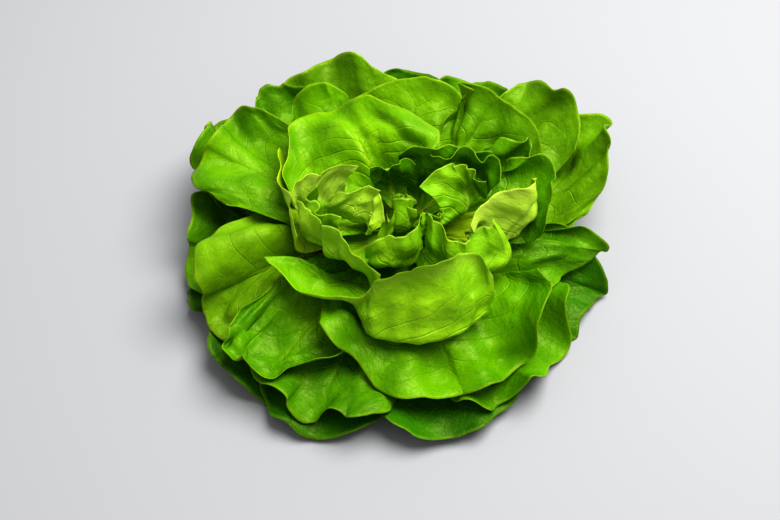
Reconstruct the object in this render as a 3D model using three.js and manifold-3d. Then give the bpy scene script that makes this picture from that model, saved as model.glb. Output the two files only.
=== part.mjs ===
// A butterhead lettuce, open like a rose, resting on its cut butt.
// Millimetres, +Z up, the cut face of the butt on z = 0 and the stem's axis on x = y = 0.
// Azimuths are degrees round +Z, with 0 at the right, 90 at the back and 270 at the front.
import * as THREE from "three";
import { mergeVertices } from "three/addons/utils/BufferGeometryUtils.js";
import Module from "manifold-3d";

const kit = await Module();
kit.setup();
const { Manifold } = kit;

// Driving dimensions
const STEM = { foot: 15, waist: 17, waistHeight: 5, neck: 8.5, neckHeight: 52, top: 58, sides: 24 };
const BLADE = { rim: 0.7, base: 1.5, rib: 0.9, ribWidth: 0.16, gap: 0.5, stemGap: 0.4 };
const HEART = { leaves: 5, foot: 58.4, reach: 8, height: 11, core: [4.5, 5] };
const SKY = { azimuths: 360, rings: 110, ringStep: 2, rounds: 60 };
const SMALL = { along: 5, across: 8 };
const MEDIUM = { along: 5, across: 12 };
const LARGE = { along: 6, across: 17 };

const rad = (degrees) => degrees * Math.PI / 180;
const mix = (a, b, t) => a + (b - a) * t;
const clamp = (value, low, high) => Math.min(high, Math.max(low, value));

function smooth(low, high, value) {
  const t = clamp((value - low) / (high - low), 0, 1);
  return t * t * (3 - 2 * t);
}

// Leaves from the lowest to the innermost. Each rim point is [azimuth, reach, height, lean], and may
// end with a bulge. Lean is the angle at which the blade arrives there, 0 flat, 90 upright, past 90
// leaning in. A bulge above 1 makes the blade belly out more on its way there.
// base is [azimuth, height, half the spread], and rise, swell and curl shape the way there.
const LEAVES = [
  {
    name: "low_leaf_left", base: [190, 4, 28], rise: 4, swell: 0.4, curl: 0.38, size: SMALL,
    rim: [[174, 120, 4, 0], [180, 130, 5, 5], [187, 138, 5, 0], [193, 144, 6, 0], [197, 142, 5, -5],
      [203, 122, 4, 0]],
  },
  {
    name: "low_leaf_front_left", base: [218, 6, 28], rise: 4, swell: 0.4, curl: 0.38, size: SMALL,
    rim: [[200, 130, 5, 5], [207, 140, 7, 5], [214, 146, 8, 0], [222, 145, 5, -5], [230, 142, 5, -5],
      [236, 138, 5, 0], [241, 122, 4, 0]],
  },
  {
    name: "low_leaf_front", base: [250, 8, 28], rise: 2, swell: 0.4, curl: 0.38, size: SMALL,
    rim: [[226, 128, 5, 0], [233, 142, 6, 0], [240, 147, 7, 5], [249, 146, 7, 0], [256, 141, 8, 0],
      [262, 128, 7, 0], [266, 110, 5, 0]],
  },
  {
    name: "low_leaf_front_right", base: [284, 6, 30], rise: 4, swell: 0.4, curl: 0.38, size: MEDIUM,
    rim: [[260, 108, 6, 5], [264, 128, 7, 10], [270, 138, 9, 10], [279, 140, 9, 5], [288, 140, 9, 5],
      [296, 135, 10, 5], [302, 130, 10, 5], [308, 118, 8, 5]],
  },
  {
    name: "low_leaf_right", base: [344, 5, 30], rise: 8, swell: 0.4, curl: 0.38, size: MEDIUM,
    rim: [[324, 112, 8, 5], [331, 128, 7, -8], [336, 125, 11, 8], [342, 128, 12, 5], [347, 138, 11, -12],
      [350, 133, 19, 10], [354, 128, 23, 20], [359, 116, 20, 20]],
  },
  {
    name: "low_leaf_back", base: [92, 5, 30], rise: 18, swell: 0.4, curl: 0.38, size: SMALL,
    rim: [[70, 120, 36, 45], [79, 135, 45, 50], [86, 143, 47, 55], [93, 143, 47, 55], [99, 135, 42, 50],
      [108, 118, 34, 45]],
  },
  {
    name: "outer_leaf_left", base: [178, 9, 30], rise: 12, swell: 0.4, curl: 0.38, size: MEDIUM,
    rim: [[158, 128, 34, 35], [166, 143, 33, 30], [172, 144, 27, 25], [180, 143, 20, 20],
      [188, 144, 15, 10], [193, 141, 12, 5], [200, 124, 8, 0]],
  },
  {
    name: "outer_leaf_left_tip", base: [150, 8, 28], rise: 16, swell: 0.4, curl: 0.38, size: MEDIUM,
    rim: [[134, 136, 38, 40], [141, 157, 45, 45], [145, 163, 45, 40], [148, 156, 43, 45],
      [151, 162, 43, 45], [156, 158, 38, 40], [161, 151, 31, 35], [168, 128, 20, 20]],
  },
  {
    name: "outer_leaf_back_right", base: [64, 9, 28], rise: 20, swell: 0.4, curl: 0.38, size: MEDIUM,
    rim: [[46, 124, 38, 50], [54, 135, 48, 55], [61, 138, 54, 60], [70, 133, 56, 60], [78, 127, 54, 60],
      [86, 110, 44, 50]],
  },
  {
    name: "outer_leaf_front_right", base: [316, 10, 32], rise: 8, swell: 0.4, curl: 0.38, size: LARGE,
    rim: [[282, 106, 11, 5], [287, 125, 13, 0], [293, 133, 13, -5], [299, 131, 13, 0], [305, 136, 14, 5],
      [311, 134, 13, 0], [317, 128, 16, 10], [324, 128, 16, 5], [331, 121, 18, 5], [338, 118, 22, 10],
      [344, 108, 20, 10]],
  },
  {
    name: "outer_leaf_back", base: [112, 11, 32], rise: 26, swell: 0.42, curl: 0.38, size: LARGE,
    rim: [[84, 108, 54, 50], [91, 118, 62, 50], [98, 126, 66, 45], [105, 139, 69, 38], [111, 141, 67, 45],
      [118, 139, 63, 55], [124, 145, 57, 50], [129, 137, 50, 50], [134, 122, 42, 50]],
  },
  {
    name: "outer_leaf_right", base: [20, 10, 32], rise: 16, swell: 0.42, curl: 0.38, size: LARGE,
    rim: [[4, 98, 14, 20], [9, 120, 23, 38], [14, 136, 40, 48], [19, 147, 55, 45], [24, 156, 61, 50],
      [28, 158, 61, 62], [32, 162, 57, 60], [37, 154, 53, 55], [43, 128, 44, 50]],
  },
  {
    name: "outer_leaf_left_wing", base: [134, 14, 26], rise: 26, swell: 0.42, curl: 0.38, size: SMALL,
    rim: [[118, 134, 44, 55], [125, 142, 46, 62], [134, 148, 48, 52], [137, 141, 43, 60],
      [145, 132, 36, 50]],
  },
  {
    name: "outer_leaf_right_fold", base: [350, 15, 30], rise: 26, swell: 0.42, curl: 0.38, size: MEDIUM,
    rim: [[334, 98, 24, 20], [341, 108, 27, -5], [347, 113, 24, -40], [351, 128, 22, -50],
      [354, 135, 32, -25], [357, 126, 42, 15], [0, 112, 44, 35], [1, 98, 43, 40], [2, 82, 38, 40]],
  },
  {
    name: "outer_leaf_right_back", base: [46, 15, 30], rise: 28, swell: 0.42, curl: 0.38, size: MEDIUM,
    rim: [[28, 132, 48, 50], [35, 143, 60, 60], [40, 150, 69, 64], [44, 144, 66, 72], [49, 139, 69, 62],
      [53, 130, 67, 68], [57, 116, 58, 60], [61, 100, 48, 50]],
  },
  {
    name: "outer_leaf_front", base: [248, 14, 32], rise: 18, swell: 0.42, curl: 0.38, size: LARGE,
    rim: [[219, 128, 18, 0], [226, 136, 15, -10], [231, 138, 11, -18], [238, 140, 13, -12],
      [246, 141, 11, -12], [251, 135, 20, 12], [255, 134, 13, -12], [260, 132, 13, -15],
      [266, 126, 14, -12], [270, 112, 14, 0]],
  },
  {
    name: "outer_leaf_left_dome", base: [196, 14, 32], rise: 36, swell: 0.5, curl: 0.38, size: LARGE,
    rim: [[175, 88, 46, 20], [181, 106, 50, 8], [187, 121, 51, -6], [192, 133, 46, -25],
      [196, 138, 38, -20], [200, 137, 28, 0], [204, 141, 19, -32], [209, 143, 10, -45], [214, 134, 11, -25],
      [216, 120, 21, 0], [217, 104, 27, 10]],
  },
  {
    name: "middle_leaf_front_left", base: [228, 21, 30], rise: 12, swell: 0.45, curl: 0.42, size: LARGE,
    rim: [[212, 118, 26, 20], [216, 134, 19, 45], [218, 140, 15, 70], [223, 140, 19, 80],
      [229, 135, 24, 85], [236, 122, 28, 85], [243, 110, 30, 75], [249, 101, 30, 55], [253, 86, 28, 40]],
  },
  {
    name: "middle_leaf_left", base: [158, 19, 32], rise: 38, swell: 0.45, curl: 0.38, size: LARGE,
    rim: [[134, 110, 46, 60], [139, 134, 59, 60], [143, 145, 64, 48], [148, 145, 59, 25], [154, 142, 56, 8],
      [161, 142, 52, -4], [167, 139, 46, -16], [173, 126, 40, -18], [179, 108, 40, 5], [186, 90, 42, 20]],
  },
  {
    name: "middle_leaf_back", base: [84, 20, 32], rise: 48, swell: 0.45, curl: 0.38, size: LARGE,
    rim: [[53, 66, 62, 78], [57, 77, 70, 88], [62, 88, 77, 58], [68, 97, 79, 40], [77, 99, 78, 40],
      [87, 99, 78, 40], [98, 96, 77, 50], [108, 92, 73, 60], [116, 84, 67, 60], [122, 74, 60, 60]],
  },
  {
    name: "middle_leaf_back_left", base: [124, 25, 30], rise: 44, swell: 0.45, curl: 0.38, size: MEDIUM,
    rim: [[102, 78, 66, 60], [110, 87, 73, 60], [117, 99, 76, 55], [123, 110, 78, 50], [129, 111, 75, 52],
      [134, 107, 68, 58], [141, 102, 60, 60], [148, 92, 52, 55]],
  },
  {
    name: "middle_leaf_right_back", base: [46, 22, 30], rise: 46, swell: 0.45, curl: 0.38, size: LARGE,
    rim: [[26, 106, 56, 50], [34, 108, 71, 60], [41, 105, 76, 60], [50, 102, 79, 58], [57, 104, 79, 52],
      [61, 98, 77, 68], [63, 88, 73, 78], [65, 77, 67, 80], [68, 66, 59, 78]],
  },
  {
    name: "middle_leaf_front", base: [286, 21, 34], rise: 26, swell: 0.45, curl: 0.4, size: LARGE,
    rim: [[232, 80, 43, 0], [235, 90, 37, -20], [239, 99, 29, -35], [246, 105, 27, -20],
      [256, 106, 24, -18], [262, 114, 21, -22], [269, 121, 21, -18], [280, 121, 26, -2],
      [287, 126, 23, -18], [295, 125, 25, -8], [303, 122, 29, 5], [311, 121, 34, 16], [319, 120, 39, 20],
      [326, 115, 44, 22], [331, 108, 48, 26], [334, 94, 48, 30]],
  },
  {
    name: "middle_leaf_right_lobe", base: [28, 28, 24], rise: 50, swell: 0.45, curl: 0.38, size: SMALL,
    rim: [[16, 84, 54, 60], [25, 93, 64, 50], [30, 97, 71, 40], [34, 85, 73, 32], [37, 75, 70, 50],
      [40, 66, 60, 65]],
  },
  {
    name: "middle_leaf_right", base: [4, 31, 24], rise: 42, swell: 0.5, curl: 0.38, size: MEDIUM,
    rim: [[348, 90, 58, 70], [357, 92, 71, 75], [4, 89, 77, 78], [11, 92, 80, 74], [16, 93, 80, 62],
      [20, 84, 78, 72], [22, 74, 70, 78]],
  },
  {
    name: "wrap_leaf_front", base: [262, 26, 34], rise: 6, swell: 1.05, curl: 0.62, size: LARGE,
    rim: [[203, 94, 52, 0], [207, 94, 50, 5], [213, 93, 49, 10], [222, 92, 48, 25], [231, 91, 48, 40],
      [241, 88, 50, 60], [247, 84, 55, 82, 1.1], [251, 76, 65, 104, 1.25], [256, 68, 74, 116, 1.4],
      [266, 60, 79, 122, 1.45], [282, 56, 84, 124, 1.5], [298, 60, 85, 122, 1.4], [308, 69, 80, 116, 1.2],
      [312, 77, 74, 112], [314, 80, 65, 105]],
  },
  {
    name: "wrap_leaf_left", base: [182, 27, 26], rise: 30, swell: 0.7, curl: 0.5, size: MEDIUM,
    rim: [[150, 88, 70, 75], [158, 84, 72, 85], [166, 78, 72, 92], [176, 75, 73, 95], [186, 72, 73, 96],
      [195, 70, 70, 96], [203, 70, 64, 95]],
  },
  {
    name: "wrap_leaf_back", base: [128, 29, 34], rise: 66, swell: 0.75, curl: 0.42, size: LARGE,
    rim: [[54, 38, 82, 12], [60, 48, 86, 5], [76, 52, 87, 0], [95, 60, 87, 0], [106, 73, 85, 4],
      [116, 79, 84, 8], [127, 86, 82, 12], [135, 92, 80, 25], [143, 93, 76, 45], [151, 88, 72, 60],
      [159, 82, 71, 75], [168, 76, 70, 82], [178, 70, 66, 85]],
  },
  {
    name: "inner_leaf_right", base: [306, 34, 22], rise: 10, swell: 1.0, curl: 0.6, size: LARGE,
    rim: [[290, 28, 82, 108], [295, 33, 82, 110], [300, 40, 80, 110], [304, 50, 78, 110],
      [309, 56, 77, 110], [316, 59, 78, 108], [323, 64, 80, 106], [330, 69, 81, 104], [336, 68, 83, 104]],
  },
  {
    name: "wrap_leaf_right", base: [339, 34, 22], rise: 10, swell: 1.0, curl: 0.58, size: LARGE,
    rim: [[320, 48, 82, 118], [330, 46, 84, 122], [340, 50, 87, 122], [348, 58, 89, 120],
      [353, 66, 90, 118], [356, 74, 89, 114], [358, 81, 86, 108], [360, 86, 81, 102], [363, 88, 74, 96]],
  },
  {
    name: "inner_leaf_back", base: [52, 38, 26], rise: 50, swell: 0.5, curl: 0.4, size: MEDIUM,
    rim: [[22, 60, 85, 80], [27, 52, 88, 80], [34, 43, 89, 80], [44, 35, 90, 84], [60, 29, 90, 88],
      [80, 25, 89, 90], [98, 23, 86, 90]],
  },
  {
    name: "inner_leaf_left_back", base: [196, 40, 9], rise: 24, swell: 0.8, curl: 0.42, size: LARGE,
    rim: [[191, 70, 77, 98], [188, 67, 83, 106, 0.95], [184, 59, 89, 114, 0.85], [180, 50, 92, 122, 0.8],
      [176, 41, 93, 128, 0.75], [172, 33, 94, 134, 0.75], [169, 27, 93, 138, 0.75]],
  },
  {
    name: "inner_leaf_left", base: [227, 43, 18], rise: 20, swell: 0.85, curl: 0.55, size: LARGE,
    rim: [[190, 67, 76, 98], [196, 66, 79, 104], [202, 63, 80, 100], [208, 60, 80, 92], [214, 58, 79, 96],
      [220, 54, 80, 110], [228, 52, 80, 112], [237, 52, 77, 112], [247, 54, 71, 108], [255, 59, 61, 98]],
  },
  {
    name: "inner_leaf_right_back", base: [30, 43, 22], rise: 40, swell: 0.55, curl: 0.42, size: MEDIUM,
    rim: [[2, 58, 83, 85], [9, 58, 88, 82], [17, 58, 92, 76], [21, 50, 92, 74], [25, 40, 91, 76],
      [32, 32, 88, 78], [50, 30, 84, 80]],
  },
  {
    name: "inner_leaf_front", base: [266, 44, 22], rise: 12, swell: 0.95, curl: 0.55, size: MEDIUM,
    rim: [[240, 46, 68, 104], [248, 42, 76, 112], [258, 40, 79, 116], [270, 39, 79, 116],
      [280, 37, 80, 112], [290, 35, 78, 104]],
  },
  {
    name: "inner_leaf_left_fold", base: [206, 47, 14], rise: 32, swell: 0.75, curl: 0.5, size: MEDIUM,
    rim: [[187, 58, 83, 106], [190, 61, 80, 104], [194, 60, 79, 102], [200, 56, 79, 100],
      [206, 51, 79, 104], [213, 45, 79, 112]],
  },
  {
    name: "inner_leaf_back_small", base: [112, 50, 26], rise: 30, swell: 0.6, curl: 0.5, size: MEDIUM,
    rim: [[66, 15, 80, 100], [84, 15, 82, 104], [102, 15, 83, 106], [120, 16, 83, 106], [138, 18, 83, 102],
      [152, 21, 82, 98]],
  },
  {
    name: "inner_leaf_right_fold", base: [340, 47, 20], rise: 24, swell: 0.95, curl: 0.5, size: LARGE,
    rim: [[340, 13, 87, 124], [354, 18, 90, 118], [4, 25, 92, 112], [7, 33, 92, 106], [6, 40, 91, 102],
      [3, 46, 88, 98], [0, 51, 84, 94]],
  },
  {
    name: "inner_leaf_right_small", base: [314, 52, 20], rise: 24, swell: 0.85, curl: 0.5, size: MEDIUM,
    rim: [[294, 25, 79, 108], [301, 28, 79, 110], [308, 31, 80, 108], [315, 32, 80, 104],
      [322, 31, 77, 100], [328, 29, 74, 96]],
  },
  {
    name: "inner_leaf_left_small", base: [214, 53, 12], rise: 26, swell: 1.0, curl: 0.6, size: LARGE,
    rim: [[192, 44, 82, 108], [195, 36, 86, 118], [200, 28, 88, 128], [207, 21, 89, 136],
      [217, 16, 89, 138], [228, 16, 87, 134], [236, 22, 84, 126], [239, 30, 80, 116]],
  },
  {
    name: "inner_leaf_front_small", base: [266, 52, 18], rise: 24, swell: 0.85, curl: 0.55, size: LARGE,
    rim: [[247, 35, 76, 104], [252, 28, 82, 114], [258, 21, 87, 124], [263, 17, 90, 130],
      [269, 16, 85, 130], [275, 17, 89, 130], [281, 22, 86, 120], [286, 28, 80, 110], [291, 31, 76, 104]],
  },
];

function catmull(p0, p1, p2, p3, t) {
  return p1.map((value, k) => 0.5 * (2 * value + (p2[k] - p0[k]) * t
    + (2 * p0[k] - 5 * value + 4 * p2[k] - p3[k]) * t * t
    + (3 * value - p0[k] - 3 * p2[k] + p3[k]) * t * t * t));
}

const place = (azimuth, reach, height) =>
  [reach * Math.cos(rad(azimuth)), reach * Math.sin(rad(azimuth)), height];

// A smooth curve through the rim's points, read by the share of its length.
function rimCurve(rim) {
  const points = rim.map(([azimuth, reach, height, lean, bulge = 1]) =>
    [azimuth, reach, height, lean, bulge]);
  points.forEach((point, i) => {
    while (i > 0 && point[0] < points[i - 1][0] - 180) point[0] += 360;
    while (i > 0 && point[0] > points[i - 1][0] + 180) point[0] -= 360;
  });
  const lengths = [0];
  for (let i = 1; i < points.length; i += 1) {
    const [a, b] = [place(...points[i - 1]), place(...points[i])];
    lengths.push(lengths[i - 1] + Math.hypot(a[0] - b[0], a[1] - b[1], a[2] - b[2]));
  }
  return (share) => {
    const wanted = share * lengths.at(-1);
    let i = 1;
    while (i < points.length - 1 && lengths[i] < wanted) i += 1;
    const t = (wanted - lengths[i - 1]) / (lengths[i] - lengths[i - 1]);
    const near = (k) => points[clamp(k, 0, points.length - 1)];
    return catmull(near(i - 2), near(i - 1), near(i), near(i + 1), t);
  };
}

function stemRadius(z) {
  if (z < STEM.waistHeight) return mix(STEM.foot, STEM.waist, clamp(z / STEM.waistHeight, 0, 1));
  const t = (z - STEM.waistHeight) / (STEM.neckHeight - STEM.waistHeight);
  return mix(STEM.waist, STEM.neck, clamp(t, 0, 1));
}

// How near the axis a blade may come: outside the stem, and above it outside the heart.
function wallRadius(z) {
  if (z < HEART.foot) return stemRadius(z);
  return mix(HEART.reach + 1, 3, smooth(0, 8, z - HEART.foot - HEART.height));
}

// A blade's middle surface: rows from base to rim, columns across, each point [azimuth, r, z].
function bladePoints(leaf) {
  const rim = rimCurve(leaf.rim);
  const [baseAzimuth, baseHeight, spread] = leaf.base;
  const { along, across } = leaf.size;
  const foot = leaf.foot ?? stemRadius(baseHeight) + BLADE.stemGap + BLADE.base / 2;
  const columns = [];
  for (let j = 0; j <= across; j += 1) {
    const side = 2 * j / across - 1;
    const [rimAzimuth, reach, height, lean, bulge] = rim(j / across);
    const start = baseAzimuth + spread * side;
    const azimuth = rimAzimuth + 360 * Math.round((start - rimAzimuth) / 360);
    const length = Math.hypot(reach - foot, height - baseHeight) * bulge;
    const out = leaf.swell * length;
    const back = leaf.curl * length;
    const [up, tip] = [rad(leaf.rise), rad(lean)];
    const spoke = new THREE.CubicBezierCurve(
      new THREE.Vector2(foot, baseHeight),
      new THREE.Vector2(foot + out * Math.cos(up), baseHeight + out * Math.sin(up)),
      new THREE.Vector2(reach - back * Math.cos(tip), height - back * Math.sin(tip)),
      new THREE.Vector2(reach, height),
    );
    const column = [];
    for (let i = 0; i <= along; i += 1) {
      const s = i / along;
      const turn = mix(s, smooth(0, 1, s), 0.5);
      const { x: r, y: z } = spoke.getPoint(s);
      column.push([mix(start, azimuth, turn), r, z]);
    }
    columns.push(column);
  }
  return columns;
}

// Half the blade's thickness, thick along the rib and at the base and thin at the rim.
function halfThickness(s, side) {
  const body = mix(BLADE.base, BLADE.rim, smooth(0, 0.7, s));
  const rib = BLADE.rib * Math.exp(-((side / BLADE.ribWidth) ** 2)) * (1 - smooth(0.3, 0.95, s));
  return (body + rib) / 2;
}

// The sky: the steepest direction from the butt at which a placed leaf lies, by azimuth and distance.
const sky = new Float64Array(SKY.azimuths * SKY.rings).fill(-1);

const skyCell = (azimuth, distance) => {
  const a = ((Math.round(azimuth * SKY.azimuths / 360) % SKY.azimuths) + SKY.azimuths) % SKY.azimuths;
  return [a, clamp(Math.round(distance / SKY.ringStep), 0, SKY.rings - 1)];
};

function sampleBlade(points, visit) {
  const steps = 4;
  for (let j = 0; j < points.length - 1; j += 1) {
    for (let i = 0; i < points[0].length - 1; i += 1) {
      for (let a = 0; a <= steps; a += 1) {
        for (let b = 0; b <= steps; b += 1) {
          const [u, v] = [a / steps, b / steps];
          const at = (k) => mix(mix(points[j][i][k], points[j + 1][i][k], u),
            mix(points[j][i + 1][k], points[j + 1][i + 1][k], u), v);
          visit(j, i, u, v, at(0), at(1), at(2));
        }
      }
    }
  }
}

function raiseSky(points, leaf) {
  const { along, across } = leaf.size;
  sampleBlade(points, (j, i, u, v, azimuth, r, z) => {
    const half = halfThickness((i + v) / along, 2 * (j + u) / across - 1);
    const distance = Math.hypot(r, z);
    const angle = Math.atan2(z, r) + half / distance;
    const [a, ring] = skyCell(azimuth, distance);
    const reachA = Math.ceil(half / (Math.max(r, 8) * rad(360 / SKY.azimuths)));
    const reachRing = Math.ceil(half / SKY.ringStep);
    for (let da = -reachA; da <= reachA; da += 1) {
      for (let dr = -reachRing; dr <= reachRing; dr += 1) {
        const column = (a + da + SKY.azimuths) % SKY.azimuths;
        const index = column * SKY.rings + clamp(ring + dr, 0, SKY.rings - 1);
        if (angle > sky[index]) sky[index] = angle;
      }
    }
  });
}

// How far, in millimetres, each point of a blade has still to move to clear what lies below it.
function blocked(points, leaf) {
  const { along, across } = leaf.size;
  const need = points.map((column) => column.map(() => 0));
  sampleBlade(points, (j, i, u, v, azimuth, r, z) => {
    const half = halfThickness((i + v) / along, 2 * (j + u) / across - 1);
    const distance = Math.hypot(r, z);
    const [a, ring] = skyCell(azimuth, distance);
    const floor = sky[a * SKY.rings + ring];
    const short = floor < 0 ? 0 : (floor - Math.atan2(z, r)) * distance + half + BLADE.gap;
    const sunk = half - z;
    const push = Math.max(short, sunk);
    if (push <= 0) return;
    for (const [dj, di] of [[0, 0], [1, 0], [0, 1], [1, 1]]) {
      need[j + dj][i + di] = Math.max(need[j + dj][i + di], push);
    }
  });
  return need;
}

function blur(need) {
  return need.map((column, j) => column.map((_, i) => {
    let [sum, weight] = [0, 0];
    for (let dj = -2; dj <= 2; dj += 1) {
      for (let di = -1; di <= 1; di += 1) {
        const value = need[clamp(j + dj, 0, need.length - 1)][clamp(i + di, 0, column.length - 1)];
        const w = (3 - Math.abs(dj)) * (2 - Math.abs(di));
        sum += w * value;
        weight += w;
      }
    }
    return sum / weight;
  }));
}

// Moves a blade up and inward, smoothly, until it lies on the leaves placed before it.
function settle(points, leaf) {
  for (let round = 0; round < SKY.rounds; round += 1) {
    const need = blocked(points, leaf);
    const most = Math.max(...need.map((column) => Math.max(...column)));
    if (most < 0.05) break;
    const soft = blur(need);
    points.forEach((column, j) => column.forEach((point, i) => {
      const push = Math.max(need[j][i], soft[j][i]) * 0.6;
      const [azimuth, r, z] = point;
      const distance = Math.hypot(r, z);
      const inward = Math.max(smooth(20, 60, r), smooth(45, 62, z));
      const [dr, dz] = [-z / distance * inward, mix(1, r / distance, inward)];
      const size = Math.hypot(dr, dz);
      const height = z + push * dz / size;
      const wall = wallRadius(height) + BLADE.stemGap + halfThickness(i / leaf.size.along, 0);
      points[j][i] = [azimuth, Math.max(r + push * dr / size, wall), height];
    }));
  }
  return points;
}

// The closed solid of a blade: its middle surface moved half the thickness to each side.
function bladeMesh(points, leaf) {
  const { along, across } = leaf.size;
  const middle = points.map((column) => column.map((point) => new THREE.Vector3(...place(...point))));
  const at = (j, i) => middle[clamp(j, 0, across)][clamp(i, 0, along)];
  const faces = [[], []];
  middle.forEach((column, j) => column.forEach((point, i) => {
    const acrossWay = at(j + 1, i).clone().sub(at(j - 1, i));
    const alongWay = at(j, i + 1).clone().sub(at(j, i - 1));
    const normal = alongWay.cross(acrossWay).normalize();
    const half = halfThickness(i / along, 2 * j / across - 1);
    faces[0].push(point.clone().addScaledVector(normal, half));
    faces[1].push(point.clone().addScaledVector(normal, -half));
  }));
  for (const side of faces) side.forEach((point) => { point.z = Math.max(point.z, 0); });
  const positions = [...faces[0], ...faces[1]].flatMap((point) => point.toArray());
  const count = faces[0].length;
  const index = (j, i) => j * (along + 1) + i;
  const triangles = [];
  for (let j = 0; j < across; j += 1) {
    for (let i = 0; i < along; i += 1) {
      const [a, b, c, d] = [index(j, i), index(j + 1, i), index(j + 1, i + 1), index(j, i + 1)];
      triangles.push(a, c, b, a, d, c);
      triangles.push(a + count, b + count, c + count, a + count, c + count, d + count);
    }
  }
  const border = [];
  for (let j = 0; j < across; j += 1) border.push(index(j, 0));
  for (let i = 0; i < along; i += 1) border.push(index(across, i));
  for (let j = across; j > 0; j -= 1) border.push(index(j, along));
  for (let i = along; i > 0; i -= 1) border.push(index(0, i));
  border.forEach((from, k) => {
    const to = border[(k + 1) % border.length];
    triangles.push(from, to, to + count, from, to + count, from + count);
  });
  return { positions: new Float32Array(positions), triangles: new Uint32Array(triangles) };
}

function meshFrom(name, positions, triangles, colour) {
  const geometry = new THREE.BufferGeometry();
  geometry.setAttribute("position", new THREE.BufferAttribute(positions, 3));
  geometry.setIndex(new THREE.BufferAttribute(triangles, 1));
  const mesh = new THREE.Mesh(geometry, new THREE.MeshStandardMaterial({ color: colour }));
  mesh.name = name;
  return mesh;
}

function solidOf({ positions, triangles }) {
  return Manifold.ofMesh(new kit.Mesh({ numProp: 3, vertProperties: positions, triVerts: triangles }));
}

// The butt and the stem: a flat cut face below, widest just above it, a blunt cone on top.
function stem() {
  const outline = [[0, 0], [STEM.foot, 0], [STEM.waist, STEM.waistHeight], [STEM.neck, STEM.neckHeight],
    [STEM.neck * 0.5, STEM.top - 1.5], [0, STEM.top]].map(([r, z]) => new THREE.Vector2(r, z));
  const geometry = new THREE.LatheGeometry(outline, STEM.sides);
  geometry.rotateX(Math.PI / 2);
  const mesh = new THREE.Mesh(geometry, new THREE.MeshStandardMaterial({ color: "#e4edc4" }));
  mesh.name = "stem";
  return mesh;
}

// The heart: the smallest leaves, folded round a core and fused to it.
function heart() {
  const [coreRadius, coreHalf] = HEART.core;
  const blades = [];
  for (let k = 0; k < HEART.leaves; k += 1) {
    const azimuth = 137.5 * k;
    const grow = 1 - 0.08 * k;
    const rim = [-70, -35, 0, 35, 70].map((turn) => [azimuth + turn, HEART.reach * grow,
      HEART.foot + HEART.height * grow * Math.cos(rad(turn * 0.5)), 95]);
    const leaf = { base: [azimuth, HEART.foot + coreHalf, 60], foot: coreRadius - 2, rise: 20, swell: 0.5,
      curl: 0.4, size: { along: 3, across: 5 }, rim };
    blades.push(solidOf(bladeMesh(bladePoints(leaf), leaf)));
  }
  let ball = new THREE.SphereGeometry(1, 16, 10);
  ball.deleteAttribute("normal");
  ball.deleteAttribute("uv");
  ball = mergeVertices(ball.scale(coreRadius, coreRadius, coreHalf).translate(0, 0, HEART.foot + coreHalf));
  const positions = ball.attributes.position.array;
  const core = solidOf({ positions, triangles: new Uint32Array(ball.index.array) });
  const { vertProperties, triVerts } = Manifold.union([core, ...blades]).getMesh();
  return meshFrom("heart", new Float32Array(vertProperties), new Uint32Array(triVerts), "#c4dc6a");
}

const lettuce = new THREE.Group();
lettuce.name = "lettuce";
lettuce.add(stem());
for (const leaf of LEAVES) {
  const points = settle(bladePoints(leaf), leaf);
  raiseSky(points, leaf);
  const { positions, triangles } = bladeMesh(points, leaf);
  const depth = LEAVES.indexOf(leaf) / (LEAVES.length - 1);
  const colour = new THREE.Color("#3f8f1c").lerp(new THREE.Color("#a8d44a"), depth);
  lettuce.add(meshFrom(leaf.name, positions, triangles, colour));
}
lettuce.add(heart());

export default lettuce;
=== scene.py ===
"""A butterhead lettuce, open like a rose, dressed for its picture.

Lengths are millimetres until a mesh is made, and metres from there on. +Z is up, the cut face of the
butt lies on z = 0 and the stem's axis on x = y = 0. Azimuths are degrees round +Z: 0 is the right, 90
the back, 180 the left and 270 the front, where the camera stands.
"""

from __future__ import annotations

import logging
import math
from dataclasses import dataclass, field
from enum import Enum
from typing import Union

import bmesh
import bpy
import numpy as np
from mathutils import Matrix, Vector

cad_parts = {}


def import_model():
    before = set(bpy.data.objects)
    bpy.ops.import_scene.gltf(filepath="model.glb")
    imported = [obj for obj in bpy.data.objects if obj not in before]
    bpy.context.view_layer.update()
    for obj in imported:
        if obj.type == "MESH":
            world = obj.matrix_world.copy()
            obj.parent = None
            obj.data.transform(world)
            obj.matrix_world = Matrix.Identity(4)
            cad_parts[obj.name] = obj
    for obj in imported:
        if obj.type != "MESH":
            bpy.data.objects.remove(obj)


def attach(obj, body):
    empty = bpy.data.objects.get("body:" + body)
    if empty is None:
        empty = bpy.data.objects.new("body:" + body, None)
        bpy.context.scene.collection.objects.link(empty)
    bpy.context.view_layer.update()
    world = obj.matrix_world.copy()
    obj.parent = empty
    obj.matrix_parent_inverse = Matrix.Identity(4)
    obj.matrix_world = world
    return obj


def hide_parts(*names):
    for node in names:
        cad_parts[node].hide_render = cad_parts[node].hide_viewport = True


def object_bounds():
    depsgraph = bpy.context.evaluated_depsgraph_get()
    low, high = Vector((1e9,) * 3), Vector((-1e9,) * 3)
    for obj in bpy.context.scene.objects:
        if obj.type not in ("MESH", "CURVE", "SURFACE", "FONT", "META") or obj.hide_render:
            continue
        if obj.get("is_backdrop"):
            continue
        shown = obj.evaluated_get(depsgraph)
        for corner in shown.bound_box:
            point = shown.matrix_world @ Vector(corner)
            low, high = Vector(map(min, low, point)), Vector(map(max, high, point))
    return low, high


log = logging.getLogger("lettuce")

MM = 0.001

Colour = tuple[float, float, float]
Array = np.ndarray


class Size(Enum):
    """How finely a blade is gridded: solid cells along and across, then drawn cells along and across."""

    SMALL = (5, 8, 48, 48)
    MEDIUM = (5, 12, 60, 64)
    LARGE = (6, 17, 72, 92)


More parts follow.
